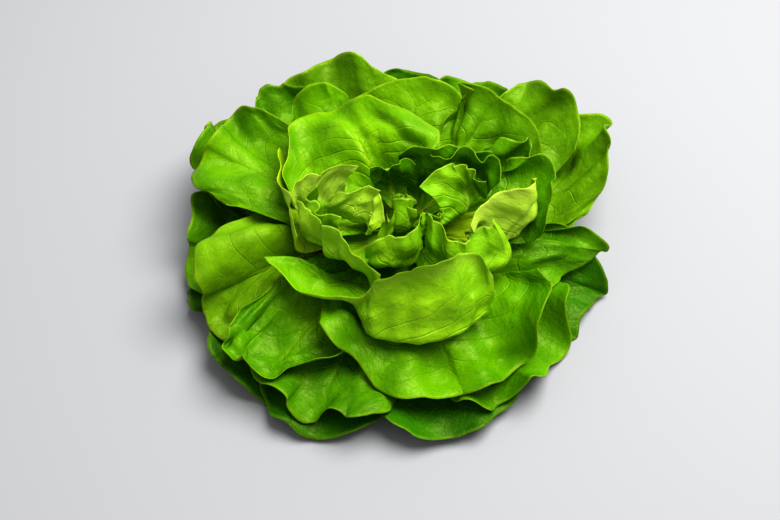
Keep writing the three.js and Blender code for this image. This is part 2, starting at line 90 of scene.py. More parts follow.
class Age(Enum):
    """The leaves' generations, by the first word of their names, which is also their slot's."""

    LOW = "low"
    OUTER = "outer"
    MIDDLE = "middle"
    WRAP = "wrap"
    INNER = "inner"
    HEART = "heart"


@dataclass(frozen=True)
class Crease:
    """A ridge or a groove on a blade, as a straight run of (along, across), both from 0 to 1.

    It grows from nothing at the start to its height in millimetres at the end. A positive height
    lifts the face, a negative one sinks it. The width is a share of the blade.
    """

    start: tuple[float, float]
    end: tuple[float, float]
    height: float
    width: float


@dataclass(frozen=True)
class LeafPlan:
    """One leaf: where it leaves the stem, how it rises, and the rim that it reaches.

    A base is (azimuth, height, half the spread), and rise is the angle at which the blade leaves it.
    Each rim point is (azimuth, reach, height, lean), and may end with a bulge. Lean is the angle at
    which the blade arrives there, 0 flat, 90 upright, past 90 leaning in. A bulge above 1 makes the
    blade belly out more on its way there. Swell and curl say how far, as shares of its length, the
    blade keeps its rise and its lean. The rolls are evenly spaced along the rim: how many degrees it
    turns back, or inward below 0, from roll_from along the blade on. The tone is from -1, deep green,
    to 1, pale. It is partly the leaf's own colour and partly painted shade and painted light: darker
    for leaves that lie in shade between others, paler for brightly lit ones.
    """

    name: str
    base: tuple[float, float, float]
    rise: float
    size: Size
    rim: tuple[tuple[float, ...], ...]
    swell: float = 0.45
    curl: float = 0.38
    foot: Union[float, None] = None
    ruffle: float = 1.0
    rolls: tuple[float, ...] = ()
    roll_from: float = 0.8
    # Partly the leaf's own tone, partly painted shade and painted light
    creases: tuple[Crease, ...] = ()
    tone: float = 0.0

    @property
    def age(self) -> Age:
        """The generation that the name starts with."""
        return Age(self.name.split("_")[0])


# Leaves from the lowest to the innermost
# Their tones are partly each leaf's own colour and partly painted shade and painted light
LEAVES: tuple[LeafPlan, ...] = (
    LeafPlan(
        "low_leaf_left", base=(190, 4, 28), rise=4, swell=0.4, size=Size.SMALL,
        rim=(
            (174, 120, 4, 0), (180, 130, 5, 5), (187, 138, 5, 0), (193, 144, 6, 0), (197, 142, 5, -5),
            (203, 122, 4, 0),
        ),
    ),
    LeafPlan(
        "low_leaf_front_left", base=(218, 6, 28), rise=4, swell=0.4, size=Size.SMALL,
        rim=(
            (200, 130, 5, 5), (207, 140, 7, 5), (214, 146, 8, 0), (222, 145, 5, -5), (230, 142, 5, -5),
            (236, 138, 5, 0), (241, 122, 4, 0),
        ),
    ),
    LeafPlan(
        "low_leaf_front", base=(250, 8, 28), rise=2, swell=0.4, size=Size.SMALL,
        rim=(
            (226, 128, 5, 0), (233, 142, 6, 0), (240, 147, 7, 5), (249, 146, 7, 0), (256, 141, 8, 0),
            (262, 128, 7, 0), (266, 110, 5, 0),
        ),
    ),
    LeafPlan(
        "low_leaf_front_right", base=(284, 6, 30), rise=4, swell=0.4, size=Size.MEDIUM,
        rim=(
            (260, 108, 6, 5), (264, 128, 7, 10), (270, 138, 9, 10), (279, 140, 9, 5), (288, 140, 9, 5),
            (296, 135, 10, 5), (302, 130, 10, 5), (308, 118, 8, 5),
        ),
        tone=-0.2,
    ),
    LeafPlan(
        "low_leaf_right", base=(344, 5, 30), rise=8, swell=0.4, size=Size.MEDIUM,
        rim=(
            (324, 112, 8, 5), (331, 128, 7, -8), (336, 125, 11, 8), (342, 128, 12, 5),
            (347, 138, 11, -12), (350, 133, 19, 10), (354, 128, 23, 20), (359, 116, 20, 20),
        ),
    ),
    LeafPlan(
        "low_leaf_back", base=(92, 5, 30), rise=18, swell=0.4, size=Size.SMALL,
        rim=(
            (70, 120, 36, 45), (79, 135, 45, 50), (86, 143, 47, 55), (93, 143, 47, 55), (99, 135, 42, 50),
            (108, 118, 34, 45),
        ),
        tone=-0.4,
    ),
    LeafPlan(
        "outer_leaf_left", base=(178, 9, 30), rise=12, swell=0.4, size=Size.MEDIUM,
        rim=(
            (158, 128, 34, 35), (166, 143, 33, 30), (172, 144, 27, 25), (180, 143, 20, 20),
            (188, 144, 15, 10), (193, 141, 12, 5), (200, 124, 8, 0),
        ),
    ),
    LeafPlan(
        "outer_leaf_left_tip", base=(150, 8, 28), rise=16, swell=0.4, size=Size.MEDIUM,
        rim=(
            (134, 136, 38, 40), (141, 157, 45, 45), (145, 163, 45, 40), (148, 156, 43, 45),
            (151, 162, 43, 45), (156, 158, 38, 40), (161, 151, 31, 35), (168, 128, 20, 20),
        ),
    ),
    LeafPlan(
        "outer_leaf_back_right", base=(64, 9, 28), rise=20, swell=0.4, size=Size.MEDIUM,
        rim=(
            (46, 124, 38, 50), (54, 135, 48, 55), (61, 138, 54, 60), (70, 133, 56, 60), (78, 127, 54, 60),
            (86, 110, 44, 50),
        ),
    ),
    LeafPlan(
        "outer_leaf_front_right", base=(316, 10, 32), rise=8, swell=0.4, size=Size.LARGE,
        rim=(
            (282, 106, 11, 5), (287, 125, 13, 0), (293, 133, 13, -5), (299, 131, 13, 0),
            (305, 136, 14, 5), (311, 134, 13, 0), (317, 128, 16, 10), (324, 128, 16, 5),
            (331, 121, 18, 5), (338, 118, 22, 10), (344, 108, 20, 10),
        ),
    ),
    LeafPlan(
        "outer_leaf_back", base=(112, 11, 32), rise=26, swell=0.42, size=Size.LARGE,
        rim=(
            (84, 108, 54, 50), (91, 118, 62, 50), (98, 126, 66, 45), (105, 139, 69, 38),
            (111, 141, 67, 45), (118, 139, 63, 55), (124, 145, 57, 50), (129, 137, 50, 50),
            (134, 122, 42, 50),
        ),
        tone=0.3,
    ),
    LeafPlan(
        "outer_leaf_right", base=(20, 10, 32), rise=16, swell=0.42, size=Size.LARGE,
        rim=(
            (4, 98, 14, 20), (9, 120, 23, 38), (14, 136, 40, 48), (19, 147, 55, 45), (24, 156, 61, 50),
            (28, 158, 61, 62), (32, 162, 57, 60), (37, 154, 53, 55), (43, 128, 44, 50),
        ),
        tone=0.35,
        creases=(
            Crease((0.30, 0.50), (0.95, 0.50), -3.5, 0.05), Crease((0.35, 0.74), (1.00, 0.76), 3.5, 0.06),
        ),
    ),
    LeafPlan(
        "outer_leaf_left_wing", base=(134, 14, 26), rise=26, swell=0.42, size=Size.SMALL,
        rim=(
            (118, 134, 44, 55), (125, 142, 46, 62), (134, 148, 48, 52), (137, 141, 43, 60),
            (145, 132, 36, 50),
        ),
    ),
    LeafPlan(
        "outer_leaf_right_fold", base=(350, 15, 30), rise=26, swell=0.42, size=Size.MEDIUM,
        rim=(
            (334, 98, 24, 20), (341, 108, 27, -5), (347, 113, 24, -40), (351, 128, 22, -50),
            (354, 135, 32, -25), (357, 126, 42, 15), (0, 112, 44, 35), (1, 98, 43, 40), (2, 82, 38, 40),
        ),
    ),
    LeafPlan(
        "outer_leaf_right_back", base=(46, 15, 30), rise=28, swell=0.42, size=Size.MEDIUM,
        rim=(
            (28, 132, 48, 50), (35, 143, 60, 60), (40, 150, 69, 64), (44, 144, 66, 72), (49, 139, 69, 62),
            (53, 130, 67, 68), (57, 116, 58, 60), (61, 100, 48, 50),
        ),
        tone=0.3,
    ),
    LeafPlan(
        "outer_leaf_front", base=(248, 14, 32), rise=18, swell=0.42, size=Size.LARGE,
        rim=(
            (219, 128, 18, 0), (226, 136, 15, -10), (231, 138, 11, -18), (238, 140, 13, -12),
            (246, 141, 11, -12), (251, 135, 20, 12), (255, 134, 13, -12), (260, 132, 13, -15),
            (266, 126, 14, -12), (270, 112, 14, 0),
        ),
        creases=(
            Crease((0.30, 0.40), (1.00, 0.36), -3.5, 0.06), Crease((0.30, 0.68), (1.00, 0.70), 3.0, 0.07),
        ),
    ),
    LeafPlan(
        "outer_leaf_left_dome", base=(196, 14, 32), rise=36, swell=0.5, size=Size.LARGE,
        rim=(
            (175, 88, 46, 20), (181, 106, 50, 8), (187, 121, 51, -6), (192, 133, 46, -25),
            (196, 138, 38, -20), (200, 137, 28, 0), (204, 141, 19, -32), (209, 143, 10, -45),
            (214, 134, 11, -25), (216, 120, 21, 0), (217, 104, 27, 10),
        ),
        tone=0.5,
        creases=(
            Crease((0.30, 0.62), (0.95, 0.60), -3.0, 0.07), Crease((0.30, 0.40), (0.95, 0.34), 3.5, 0.07),
            Crease((0.30, 0.80), (0.95, 0.82), 3.0, 0.06),
        ),
    ),
    LeafPlan(
        "middle_leaf_front_left", base=(228, 21, 30), rise=12, curl=0.42, size=Size.LARGE,
        rim=(
            (212, 118, 26, 20), (216, 134, 19, 45), (218, 140, 15, 70), (223, 140, 19, 80),
            (229, 135, 24, 85), (236, 122, 28, 85), (243, 110, 30, 75), (249, 101, 30, 55),
            (253, 86, 28, 40),
        ),
        creases=(
            Crease((0.30, 0.35), (1.00, 0.30), -4.0, 0.06), Crease((0.30, 0.62), (1.00, 0.60), 3.0, 0.07),
            Crease((0.30, 0.80), (1.00, 0.84), -3.0, 0.06),
        ),
    ),
    LeafPlan(
        "middle_leaf_left", base=(158, 19, 32), rise=38, size=Size.LARGE,
        rim=(
            (134, 110, 46, 60), (139, 134, 59, 60), (143, 145, 64, 48), (148, 145, 59, 25),
            (154, 142, 56, 8), (161, 142, 52, -4), (167, 139, 46, -16), (173, 126, 40, -18),
            (179, 108, 40, 5), (186, 90, 42, 20),
        ),
        tone=0.1,
        creases=(
            Crease((0.25, 0.40), (0.90, 0.30), -5.5, 0.06), Crease((0.30, 0.60), (0.95, 0.62), 3.5, 0.08),
            Crease((0.40, 0.78), (1.00, 0.80), -3.0, 0.06),
        ),
    ),
    LeafPlan(
        "middle_leaf_back", base=(84, 20, 32), rise=48, size=Size.LARGE,
        rim=(
            (53, 66, 62, 78), (57, 77, 70, 88), (62, 88, 77, 58), (68, 97, 79, 40), (77, 99, 78, 40),
            (87, 99, 78, 40), (98, 96, 77, 50), (108, 92, 73, 60), (116, 84, 67, 60), (122, 74, 60, 60),
        ),
        tone=0.2,
    ),
    LeafPlan(
        "middle_leaf_back_left", base=(124, 25, 30), rise=44, size=Size.MEDIUM,
        rim=(
            (102, 78, 66, 60), (110, 87, 73, 60), (117, 99, 76, 55), (123, 110, 78, 50),
            (129, 111, 75, 52), (134, 107, 68, 58), (141, 102, 60, 60), (148, 92, 52, 55),
        ),
    ),
    LeafPlan(
        "middle_leaf_right_back", base=(46, 22, 30), rise=46, size=Size.LARGE,
        rim=(
            (26, 106, 56, 50), (34, 108, 71, 60), (41, 105, 76, 60), (50, 102, 79, 58), (57, 104, 79, 52),
            (61, 98, 77, 68), (63, 88, 73, 78), (65, 77, 67, 80), (68, 66, 59, 78),
        ),
        tone=0.2,
        creases=(
            Crease((0.30, 0.62), (1.00, 0.66), -5.0, 0.06), Crease((0.30, 0.30), (1.00, 0.30), 3.0, 0.07),
        ),
    ),
    LeafPlan(
        "middle_leaf_front", base=(286, 21, 34), rise=26, curl=0.4, size=Size.LARGE,
        rim=(
            (232, 80, 43, 0), (235, 90, 37, -20), (239, 99, 29, -35), (246, 105, 27, -20),
            (256, 106, 24, -18), (262, 114, 21, -22), (269, 121, 21, -18), (280, 121, 26, -2),
            (287, 126, 23, -18), (295, 125, 25, -8), (303, 122, 29, 5), (311, 121, 34, 16),
            (319, 120, 39, 20), (326, 115, 44, 22), (331, 108, 48, 26), (334, 94, 48, 30),
        ),
        tone=-0.15,
        creases=(
            Crease((0.10, 0.46), (0.90, 0.44), -2.5, 0.035),
            Crease((0.40, 0.24), (1.00, 0.22), -3.0, 0.05),
            Crease((0.40, 0.70), (1.00, 0.72), -2.5, 0.06), Crease((0.40, 0.86), (1.00, 0.86), 2.5, 0.06),
        ),
    ),
    LeafPlan(
        "middle_leaf_right_lobe", base=(28, 28, 24), rise=50, size=Size.SMALL,
        rim=(
            (16, 84, 54, 60), (25, 93, 64, 50), (30, 97, 71, 40), (34, 85, 73, 32), (37, 75, 70, 50),
            (40, 66, 60, 65),
        ),
    ),
    LeafPlan(
        "middle_leaf_right", base=(4, 31, 24), rise=42, swell=0.5, size=Size.MEDIUM,
        rim=(
            (348, 90, 58, 70), (357, 92, 71, 75), (4, 89, 77, 78), (11, 92, 80, 74), (16, 93, 80, 62),
            (20, 84, 78, 72), (22, 74, 70, 78),
        ),
    ),
    LeafPlan(
        "wrap_leaf_front", base=(262, 26, 34), rise=6, swell=1.05, curl=0.62, size=Size.LARGE,
        rim=(
            (203, 94, 52, 0), (207, 94, 50, 5), (213, 93, 49, 10), (222, 92, 48, 25), (231, 91, 48, 40),
            (241, 88, 50, 60), (247, 84, 55, 82, 1.1), (251, 76, 65, 104, 1.25), (256, 68, 74, 116, 1.4),
            (266, 60, 79, 122, 1.45), (282, 56, 84, 124, 1.5), (298, 60, 85, 122, 1.4),
            (308, 69, 80, 116, 1.2), (312, 77, 74, 112), (314, 80, 65, 105),
        ),
        roll_from=0.92, tone=-0.1, rolls=(-10, -30, -45, -45, -20, 5, 25, 35, 40, 45, 45, 40, 25),
        creases=(
            Crease((0.40, 0.53), (0.80, 0.54), -2.2, 0.024),
            Crease((0.42, 0.60), (0.86, 0.63), -2.4, 0.020),
            Crease((0.40, 0.68), (0.82, 0.70), -3.0, 0.022),
            Crease((0.42, 0.74), (0.88, 0.78), -2.2, 0.018),
            Crease((0.40, 0.81), (0.80, 0.85), -2.8, 0.022),
            Crease((0.40, 0.24), (0.98, 0.24), -5.0, 0.09),
        ),
    ),
    LeafPlan(
        "wrap_leaf_left", base=(182, 27, 26), rise=30, swell=0.7, curl=0.5, size=Size.MEDIUM,
        rim=(
            (150, 88, 70, 75), (158, 84, 72, 85), (166, 78, 72, 92), (176, 75, 73, 95), (186, 72, 73, 96),
            (195, 70, 70, 96), (203, 70, 64, 95),
        ),
        tone=0.9,
    ),
    LeafPlan(
        "wrap_leaf_back", base=(128, 29, 34), rise=66, swell=0.75, curl=0.42, size=Size.LARGE,
        rim=(
            (54, 38, 82, 12), (60, 48, 86, 5), (76, 52, 87, 0), (95, 60, 87, 0), (106, 73, 85, 4),
            (116, 79, 84, 8), (127, 86, 82, 12), (135, 92, 80, 25), (143, 93, 76, 45), (151, 88, 72, 60),
            (159, 82, 71, 75), (168, 76, 70, 82), (178, 70, 66, 85),
        ),
        tone=0.1,
        creases=(
            Crease((0.20, 0.42), (1.00, 0.50), -4.0, 0.04), Crease((0.35, 0.20), (1.00, 0.22), 3.0, 0.07),
            Crease((0.35, 0.70), (1.00, 0.74), 3.5, 0.07), Crease((0.45, 0.86), (1.00, 0.88), -3.0, 0.05),
        ),
    ),
    LeafPlan(
        "inner_leaf_right", base=(306, 34, 22), rise=10, swell=1.0, curl=0.6, size=Size.LARGE,
        rim=(
            (290, 28, 82, 108), (295, 33, 82, 110), (300, 40, 80, 110), (304, 50, 78, 110),
            (309, 56, 77, 110), (316, 59, 78, 108), (323, 64, 80, 106), (330, 69, 81, 104),
            (336, 68, 83, 104),
        ),
        tone=-0.3,
        creases=(
            Crease((0.4, 0.2), (1.0, 0.16), 3.0, 0.05), Crease((0.4, 0.36), (1.0, 0.34), -3.0, 0.05),
            Crease((0.4, 0.7), (1.0, 0.7), 2.0, 0.06),
        ),
    ),
    LeafPlan(
        "wrap_leaf_right", base=(339, 34, 22), rise=10, swell=1.0, curl=0.58, size=Size.LARGE,
        rim=(
            (320, 48, 82, 118), (330, 46, 84, 122), (340, 50, 87, 122), (348, 58, 89, 120),
            (353, 66, 90, 118), (356, 74, 89, 114), (358, 81, 86, 108), (360, 86, 81, 102),
            (363, 88, 74, 96),
        ),
        tone=1.0,
        creases=(
            Crease((0.55, 0.2), (1.0, 0.86), 4.0, 0.045), Crease((0.55, 0.12), (1.0, 0.76), -3.0, 0.05),
            Crease((0.5, 0.8), (1.0, 0.3), -1.5, 0.08),
        ),
    ),
    LeafPlan(
        "inner_leaf_back", base=(52, 38, 26), rise=50, swell=0.5, curl=0.4, size=Size.MEDIUM,
        rim=(
            (22, 60, 85, 80), (27, 52, 88, 80), (34, 43, 89, 80), (44, 35, 90, 84), (60, 29, 90, 88),
            (80, 25, 89, 90), (98, 23, 86, 90),
        ),
        tone=-0.6,
    ),
    LeafPlan(
        "inner_leaf_left_back", base=(196, 40, 9), rise=24, swell=0.8, curl=0.42, size=Size.LARGE,
        rim=(
            (191, 70, 77, 98), (188, 67, 83, 106, 0.95), (184, 59, 89, 114, 0.85),
            (180, 50, 92, 122, 0.8), (176, 41, 93, 128, 0.75), (172, 33, 94, 134, 0.75),
            (169, 27, 93, 138, 0.75),
        ),
        ruffle=0.6, tone=1.0,
        creases=(
            Crease((0.4, 0.3), (1.0, 0.26), 2.5, 0.05), Crease((0.4, 0.55), (1.0, 0.52), -2.5, 0.05),
        ),
    ),
    LeafPlan(
        "inner_leaf_left", base=(227, 43, 18), rise=20, swell=0.85, curl=0.55, size=Size.LARGE,
        rim=(
            (190, 67, 76, 98), (196, 66, 79, 104), (202, 63, 80, 100), (208, 60, 80, 92),
            (214, 58, 79, 96), (220, 54, 80, 110), (228, 52, 80, 112), (237, 52, 77, 112),
            (247, 54, 71, 108), (255, 59, 61, 98),
        ),
        tone=0.2,
        creases=(
            Crease((0.4, 0.36), (1.0, 0.34), -3.0, 0.05), Crease((0.4, 0.5), (1.0, 0.5), 3.0, 0.05),
            Crease((0.4, 0.72), (1.0, 0.72), -2.0, 0.05),
        ),
    ),
    LeafPlan(
        "inner_leaf_right_back", base=(30, 43, 22), rise=40, swell=0.55, curl=0.42, size=Size.MEDIUM,
        rim=(
            (2, 58, 83, 85), (9, 58, 88, 82), (17, 58, 92, 76), (21, 50, 92, 74), (25, 40, 91, 76),
            (32, 32, 88, 78), (50, 30, 84, 80),
        ),
        tone=-0.7,
    ),
    LeafPlan(
        "inner_leaf_front", base=(266, 44, 22), rise=12, swell=0.95, curl=0.55, size=Size.MEDIUM,
        rim=(
            (240, 46, 68, 104), (248, 42, 76, 112), (258, 40, 79, 116), (270, 39, 79, 116),
            (280, 37, 80, 112), (290, 35, 78, 104),
        ),
        tone=-0.4,
    ),
    LeafPlan(
        "inner_leaf_left_fold", base=(206, 47, 14), rise=32, swell=0.75, curl=0.5, size=Size.MEDIUM,
        rim=(
            (187, 58, 83, 106), (190, 61, 80, 104), (194, 60, 79, 102), (200, 56, 79, 100),
            (206, 51, 79, 104), (213, 45, 79, 112),
        ),
        tone=0.1,
        creases=(
            Crease((0.4, 0.5), (1.0, 0.5), -3.5, 0.08),
        ),
    ),
    LeafPlan(
        "inner_leaf_back_small", base=(112, 50, 26), rise=30, swell=0.6, curl=0.5, size=Size.MEDIUM,
        rim=(
            (66, 15, 80, 100), (84, 15, 82, 104), (102, 15, 83, 106), (120, 16, 83, 106),
            (138, 18, 83, 102), (152, 21, 82, 98),
        ),
        tone=-0.6,
    ),
    LeafPlan(
        "inner_leaf_right_fold", base=(340, 47, 20), rise=24, swell=0.95, curl=0.5, size=Size.LARGE,
        rim=(
            (340, 13, 87, 124), (354, 18, 90, 118), (4, 25, 92, 112), (7, 33, 92, 106), (6, 40, 91, 102),
            (3, 46, 88, 98), (0, 51, 84, 94),
        ),
        tone=-0.9,
        creases=(
            Crease((0.4, 0.7), (1.0, 0.66), -3.0, 0.06),
        ),
    ),
    LeafPlan(
        "inner_leaf_right_small", base=(314, 52, 20), rise=24, swell=0.85, curl=0.5, size=Size.MEDIUM,
        rim=(
            (294, 25, 79, 108), (301, 28, 79, 110), (308, 31, 80, 108), (315, 32, 80, 104),
            (322, 31, 77, 100), (328, 29, 74, 96),
        ),
        tone=-0.6,
        creases=(
            Crease((0.4, 0.5), (1.0, 0.6), 2.5, 0.07),
        ),
    ),
    LeafPlan(
        "inner_leaf_left_small", base=(214, 53, 12), rise=26, swell=1.0, curl=0.6, size=Size.LARGE,
        rim=(
            (192, 44, 82, 108), (195, 36, 86, 118), (200, 28, 88, 128), (207, 21, 89, 136),
            (217, 16, 89, 138), (228, 16, 87, 134), (236, 22, 84, 126), (239, 30, 80, 116),
        ),
        tone=0.5,
        creases=(
            Crease((0.4, 0.70), (1.0, 0.72), -4.0, 0.05), Crease((0.4, 0.45), (1.0, 0.44), 2.0, 0.07),
        ),
    ),
    LeafPlan(
        "inner_leaf_front_small", base=(266, 52, 18), rise=24, swell=0.85, curl=0.55, size=Size.LARGE,
        rim=(
            (247, 35, 76, 104), (252, 28, 82, 114), (258, 21, 87, 124), (263, 17, 90, 130),
            (269, 16, 85, 130), (275, 17, 89, 130), (281, 22, 86, 120), (286, 28, 80, 110),
            (291, 31, 76, 104),
        ),
        tone=-0.5,
        creases=(
            Crease((0.4, 0.50), (1.0, 0.50), -3.5, 0.04), Crease((0.4, 0.34), (1.0, 0.34), 2.0, 0.05),
            Crease((0.4, 0.66), (1.0, 0.66), 2.0, 0.05),
        ),
    ),
)


def mix(a: Union[float, Array], b: Union[float, Array], t: Union[float, Array]) -> Union[float, Array]:
    """Blend from a to b by the share t."""
    return a + (b - a) * t


def smooth(low: float, high: float, value: Union[float, Array]) -> Array:
    """Rise softly from 0 at low to 1 at high."""
    t = np.clip((value - low) / (high - low), 0.0, 1.0)
    return t * t * (3.0 - 2.0 * t)


def linear(level: int) -> float:
    """One channel as a picture gives it, from 0 to 255, made linear for a shader."""
    share = level / 255.0
    return share / 12.92 if share <= 0.04045 else ((share + 0.055) / 1.055) ** 2.4


def paint(red: int, green: int, blue: int) -> Colour:
    """A colour as a picture gives it, made linear for a shader."""
    return linear(red), linear(green), linear(blue)


@dataclass(frozen=True)
class StemShape:
    """The butt and the stem, in millimetres."""

    foot: float = 15.0
    waist: float = 17.0
    waist_height: float = 5.0
    neck: float = 8.5
    neck_height: float = 52.0
    top: float = 58.0

    def radius(self, z: Array) -> Array:
        """The stem's radius.

        Args:
            z: The heights to read it at.

        Returns:
            The radius at each height.
        """
        below = mix(self.foot, self.waist, np.clip(z / self.waist_height, 0.0, 1.0))
        share = np.clip((z - self.waist_height) / (self.neck_height - self.waist_height), 0.0, 1.0)
        return np.where(z < self.waist_height, below, mix(self.waist, self.neck, share))


@dataclass(frozen=True)
class HeartShape:
    """The closed heart on the stem's tip, in millimetres."""

    leaves: int = 5
    foot: float = 58.4
    reach: float = 8.0
    height: float = 11.0
    lean: float = 150.0
    core_radius: float = 4.5
    core_half: float = 5.0


@dataclass(frozen=True)
class BladeShape:
    """How thick the solid blades are, in millimetres, and the room kept between them."""

    rim: float = 0.7
    base: float = 1.5
    rib: float = 0.9
    rib_width: float = 0.16
    gap: float = 0.5
    stem_gap: float = 0.4

    def half(self, s: Array, side: Array) -> Array:
        """Half the solid's thickness.

        Args:
            s: Places along the blade, from 0 to 1.
            side: Places across it, from -1 to 1.

        Returns:
            Millimetres.
        """
        body = mix(self.base, self.rim, smooth(0.0, 0.7, s))
        rib = self.rib * np.exp(-((side / self.rib_width) ** 2)) * (1.0 - smooth(0.3, 0.95, s))
        return (body + rib) / 2.0


@dataclass(frozen=True)
class SkinShape:
    """How thick the drawn blades are, in millimetres: thin at the rim, stout along the rib."""

    blade: float = 0.3
    base: float = 1.3
    rib: float = 1.7
    rib_width: float = 0.1
    gap: float = 0.3

    def half(self, s: Array, side: Array) -> Array:
        """Half the drawn thickness.

        Args:
            s: Places along the blade, from 0 to 1.
            side: Places across it, from -1 to 1.

        Returns:
            Millimetres.
        """
        body = mix(self.base, self.blade, smooth(0.0, 0.3, s))
        rib = self.rib * np.exp(-((side / self.rib_width) ** 2)) * (1.0 - smooth(0.05, 0.75, s))
        return (body + rib) / 2.0

    @property
    def most(self) -> float:
        """The greatest whole thickness."""
        return self.base + self.rib


STEM = StemShape()
HEART = HeartShape()
SOLID = BladeShape()
SKIN = SkinShape()

# From and to which reach and height a lifted point turns from straight up to inward, in millimetres
INWARD_REACH = (20.0, 60.0)
INWARD_HEIGHT = (45.0, 62.0)


def wall_radius(z: Array) -> Array:
    """How near the axis a blade may come: outside the stem, and above it outside the heart."""
    above = mix(HEART.reach + 1.0, 3.0, smooth(0.0, 8.0, z - HEART.foot - HEART.height))
    return np.where(z < HEART.foot, STEM.radius(z), above)


class RimCurve:
    """A smooth curve through a rim's points, read by the share of its length."""

    def __init__(self, rim: tuple[tuple[float, ...], ...]) -> None:
        """Unwind the azimuths and measure the chords.

        Args:
            rim: The rim's points, each (azimuth, reach, height, lean) and perhaps a bulge.
        """
        points = np.array([(*point, 1.0)[:5] for point in rim])
        points[:, 0] = np.degrees(np.unwrap(np.radians(points[:, 0])))
        turn = np.radians(points[:, 0])
        place = np.stack((points[:, 1] * np.cos(turn), points[:, 1] * np.sin(turn), points[:, 2]), axis=1)
        chords = np.linalg.norm(np.diff(place, axis=0), axis=1)
        self.points = points
        self.lengths = np.concatenate(([0.0], np.cumsum(chords)))

    def read(self, shares: Array) -> Array:
        """Read the curve.

        Args:
            shares: Shares of the rim's length, from 0 to 1.

        Returns:
            One row (azimuth, reach, height, lean, bulge) for each share.
        """
        wanted = shares * self.lengths[-1]
        last = len(self.points) - 1
        i = np.clip(np.searchsorted(self.lengths, wanted, side="left"), 1, last)
        t = ((wanted - self.lengths[i - 1]) / (self.lengths[i] - self.lengths[i - 1]))[:, None]
        p0, p1, p2, p3 = (self.points[np.clip(i + k, 0, last)] for k in (-2, -1, 0, 1))
        return 0.5 * (2 * p1 + (p2 - p0) * t + (2 * p0 - 5 * p1 + 4 * p2 - p3) * t ** 2
                      + (3 * p1 - p0 - 3 * p2 + p3) * t ** 3)


@dataclass
class Blade:
    """A blade's middle surface: arrays with a row for each place across and a column for each along."""

    azimuth: Array
    reach: Array
    height: Array

    @property
    def distance(self) -> Array:
        """How far each point is from the middle of the butt."""
        return np.hypot(self.reach, self.height)

    def place(self) -> Array:
        """The points in space, with x, y and z last."""
        turn = np.radians(self.azimuth)
        return np.stack((self.reach * np.cos(turn), self.reach * np.sin(turn), self.height), axis=-1)

    def moved(self, shift: Array) -> Blade:
        """Move the blade's points in space.

        Args:
            shift: The move of each point, with x, y and z last.

        Returns:
            The moved blade, its azimuths unwound.
        """
        point = self.place() + shift
        azimuth = np.degrees(np.arctan2(point[..., 1], point[..., 0]))
        azimuth += 360.0 * np.round((self.azimuth - azimuth) / 360.0)
        return Blade(azimuth, np.hypot(point[..., 0], point[..., 1]), point[..., 2])


def spokes(plan: LeafPlan, s: Array, shares: Array) -> Blade:
    """The plan's fan of curves, from an arc on the stem to the rim.

    Args:
        plan: The leaf's plan.
        s: Places along the blade, from 0 at the base to 1 at the rim.
        shares: Places across it, from 0 to 1.

    Returns:
        The blade at every pairing of the two.
    """
    base_azimuth, base_height, spread = plan.base
    foot = plan.foot
    if foot is None:
        foot = float(STEM.radius(np.array(base_height))) + SOLID.stem_gap + SOLID.base / 2.0
    rim = RimCurve(plan.rim).read(shares)
    rim_azimuth, reach, height, lean, bulge = (rim[:, k:k + 1] for k in range(5))
    start = base_azimuth + spread * (2.0 * shares[:, None] - 1.0)
    azimuth = rim_azimuth + 360.0 * np.floor((start - rim_azimuth) / 360.0 + 0.5)
    length = np.hypot(reach - foot, height - base_height) * bulge
    rise, tip = math.radians(plan.rise), np.radians(lean)
    knots_r = (foot, foot + plan.swell * length * math.cos(rise),
               reach - plan.curl * length * np.cos(tip), reach)
    knots_z = (base_height, base_height + plan.swell * length * math.sin(rise),
               height - plan.curl * length * np.sin(tip), height)
    t = np.atleast_2d(s)
    weights = ((1 - t) ** 3, 3 * t * (1 - t) ** 2, 3 * t ** 2 * (1 - t), t ** 3)
    r = sum(weight * knot for weight, knot in zip(weights, knots_r))
    z = sum(weight * knot for weight, knot in zip(weights, knots_z))
    turn = mix(t, smooth(0.0, 1.0, t), 0.5)
    return Blade(mix(start, azimuth, turn), r, z)


def window(values: Array, dj: int, di: int) -> Array:
    """Read a grid's values some way off, held at the edges.

    Args:
        values: The grid.
        dj: How many rows away.
        di: How many columns away.

    Returns:
        The grid shifted by so much.
    """
    rows = np.clip(np.arange(values.shape[0]) + dj, 0, values.shape[0] - 1)
    columns = np.clip(np.arange(values.shape[1]) + di, 0, values.shape[1] - 1)
    return values[rows[:, None], columns[None, :]]


def soften(values: Array, rows: int, columns: int) -> Array:
    """Blur a grid with a tent.

    Args:
        values: The grid.
        rows: How many rows the tent reaches each way.
        columns: How many columns it reaches each way.

    Returns:
        The blurred grid.
    """
    total = np.zeros_like(values)
    weight = 0.0
    for dj in range(-rows, rows + 1):
        for di in range(-columns, columns + 1):
            w = (rows + 1 - abs(dj)) * (columns + 1 - abs(di))
            total += w * window(values, dj, di)
            weight += w
    return total / weight


def widen(values: Array, rows: int, columns: int) -> Array:
    """Spread a grid's peaks.

    Args:
        values: The grid.
        rows: How many rows a peak spreads each way.
        columns: How many columns it spreads each way.

    Returns:
        The greatest value near each point.
    """
    most = values
    for dj in range(-rows, rows + 1):
        most = np.maximum(most, window(values, dj, 0))
    wide = most
    for di in range(-columns, columns + 1):
        wide = np.maximum(wide, window(most, 0, di))
    return wide


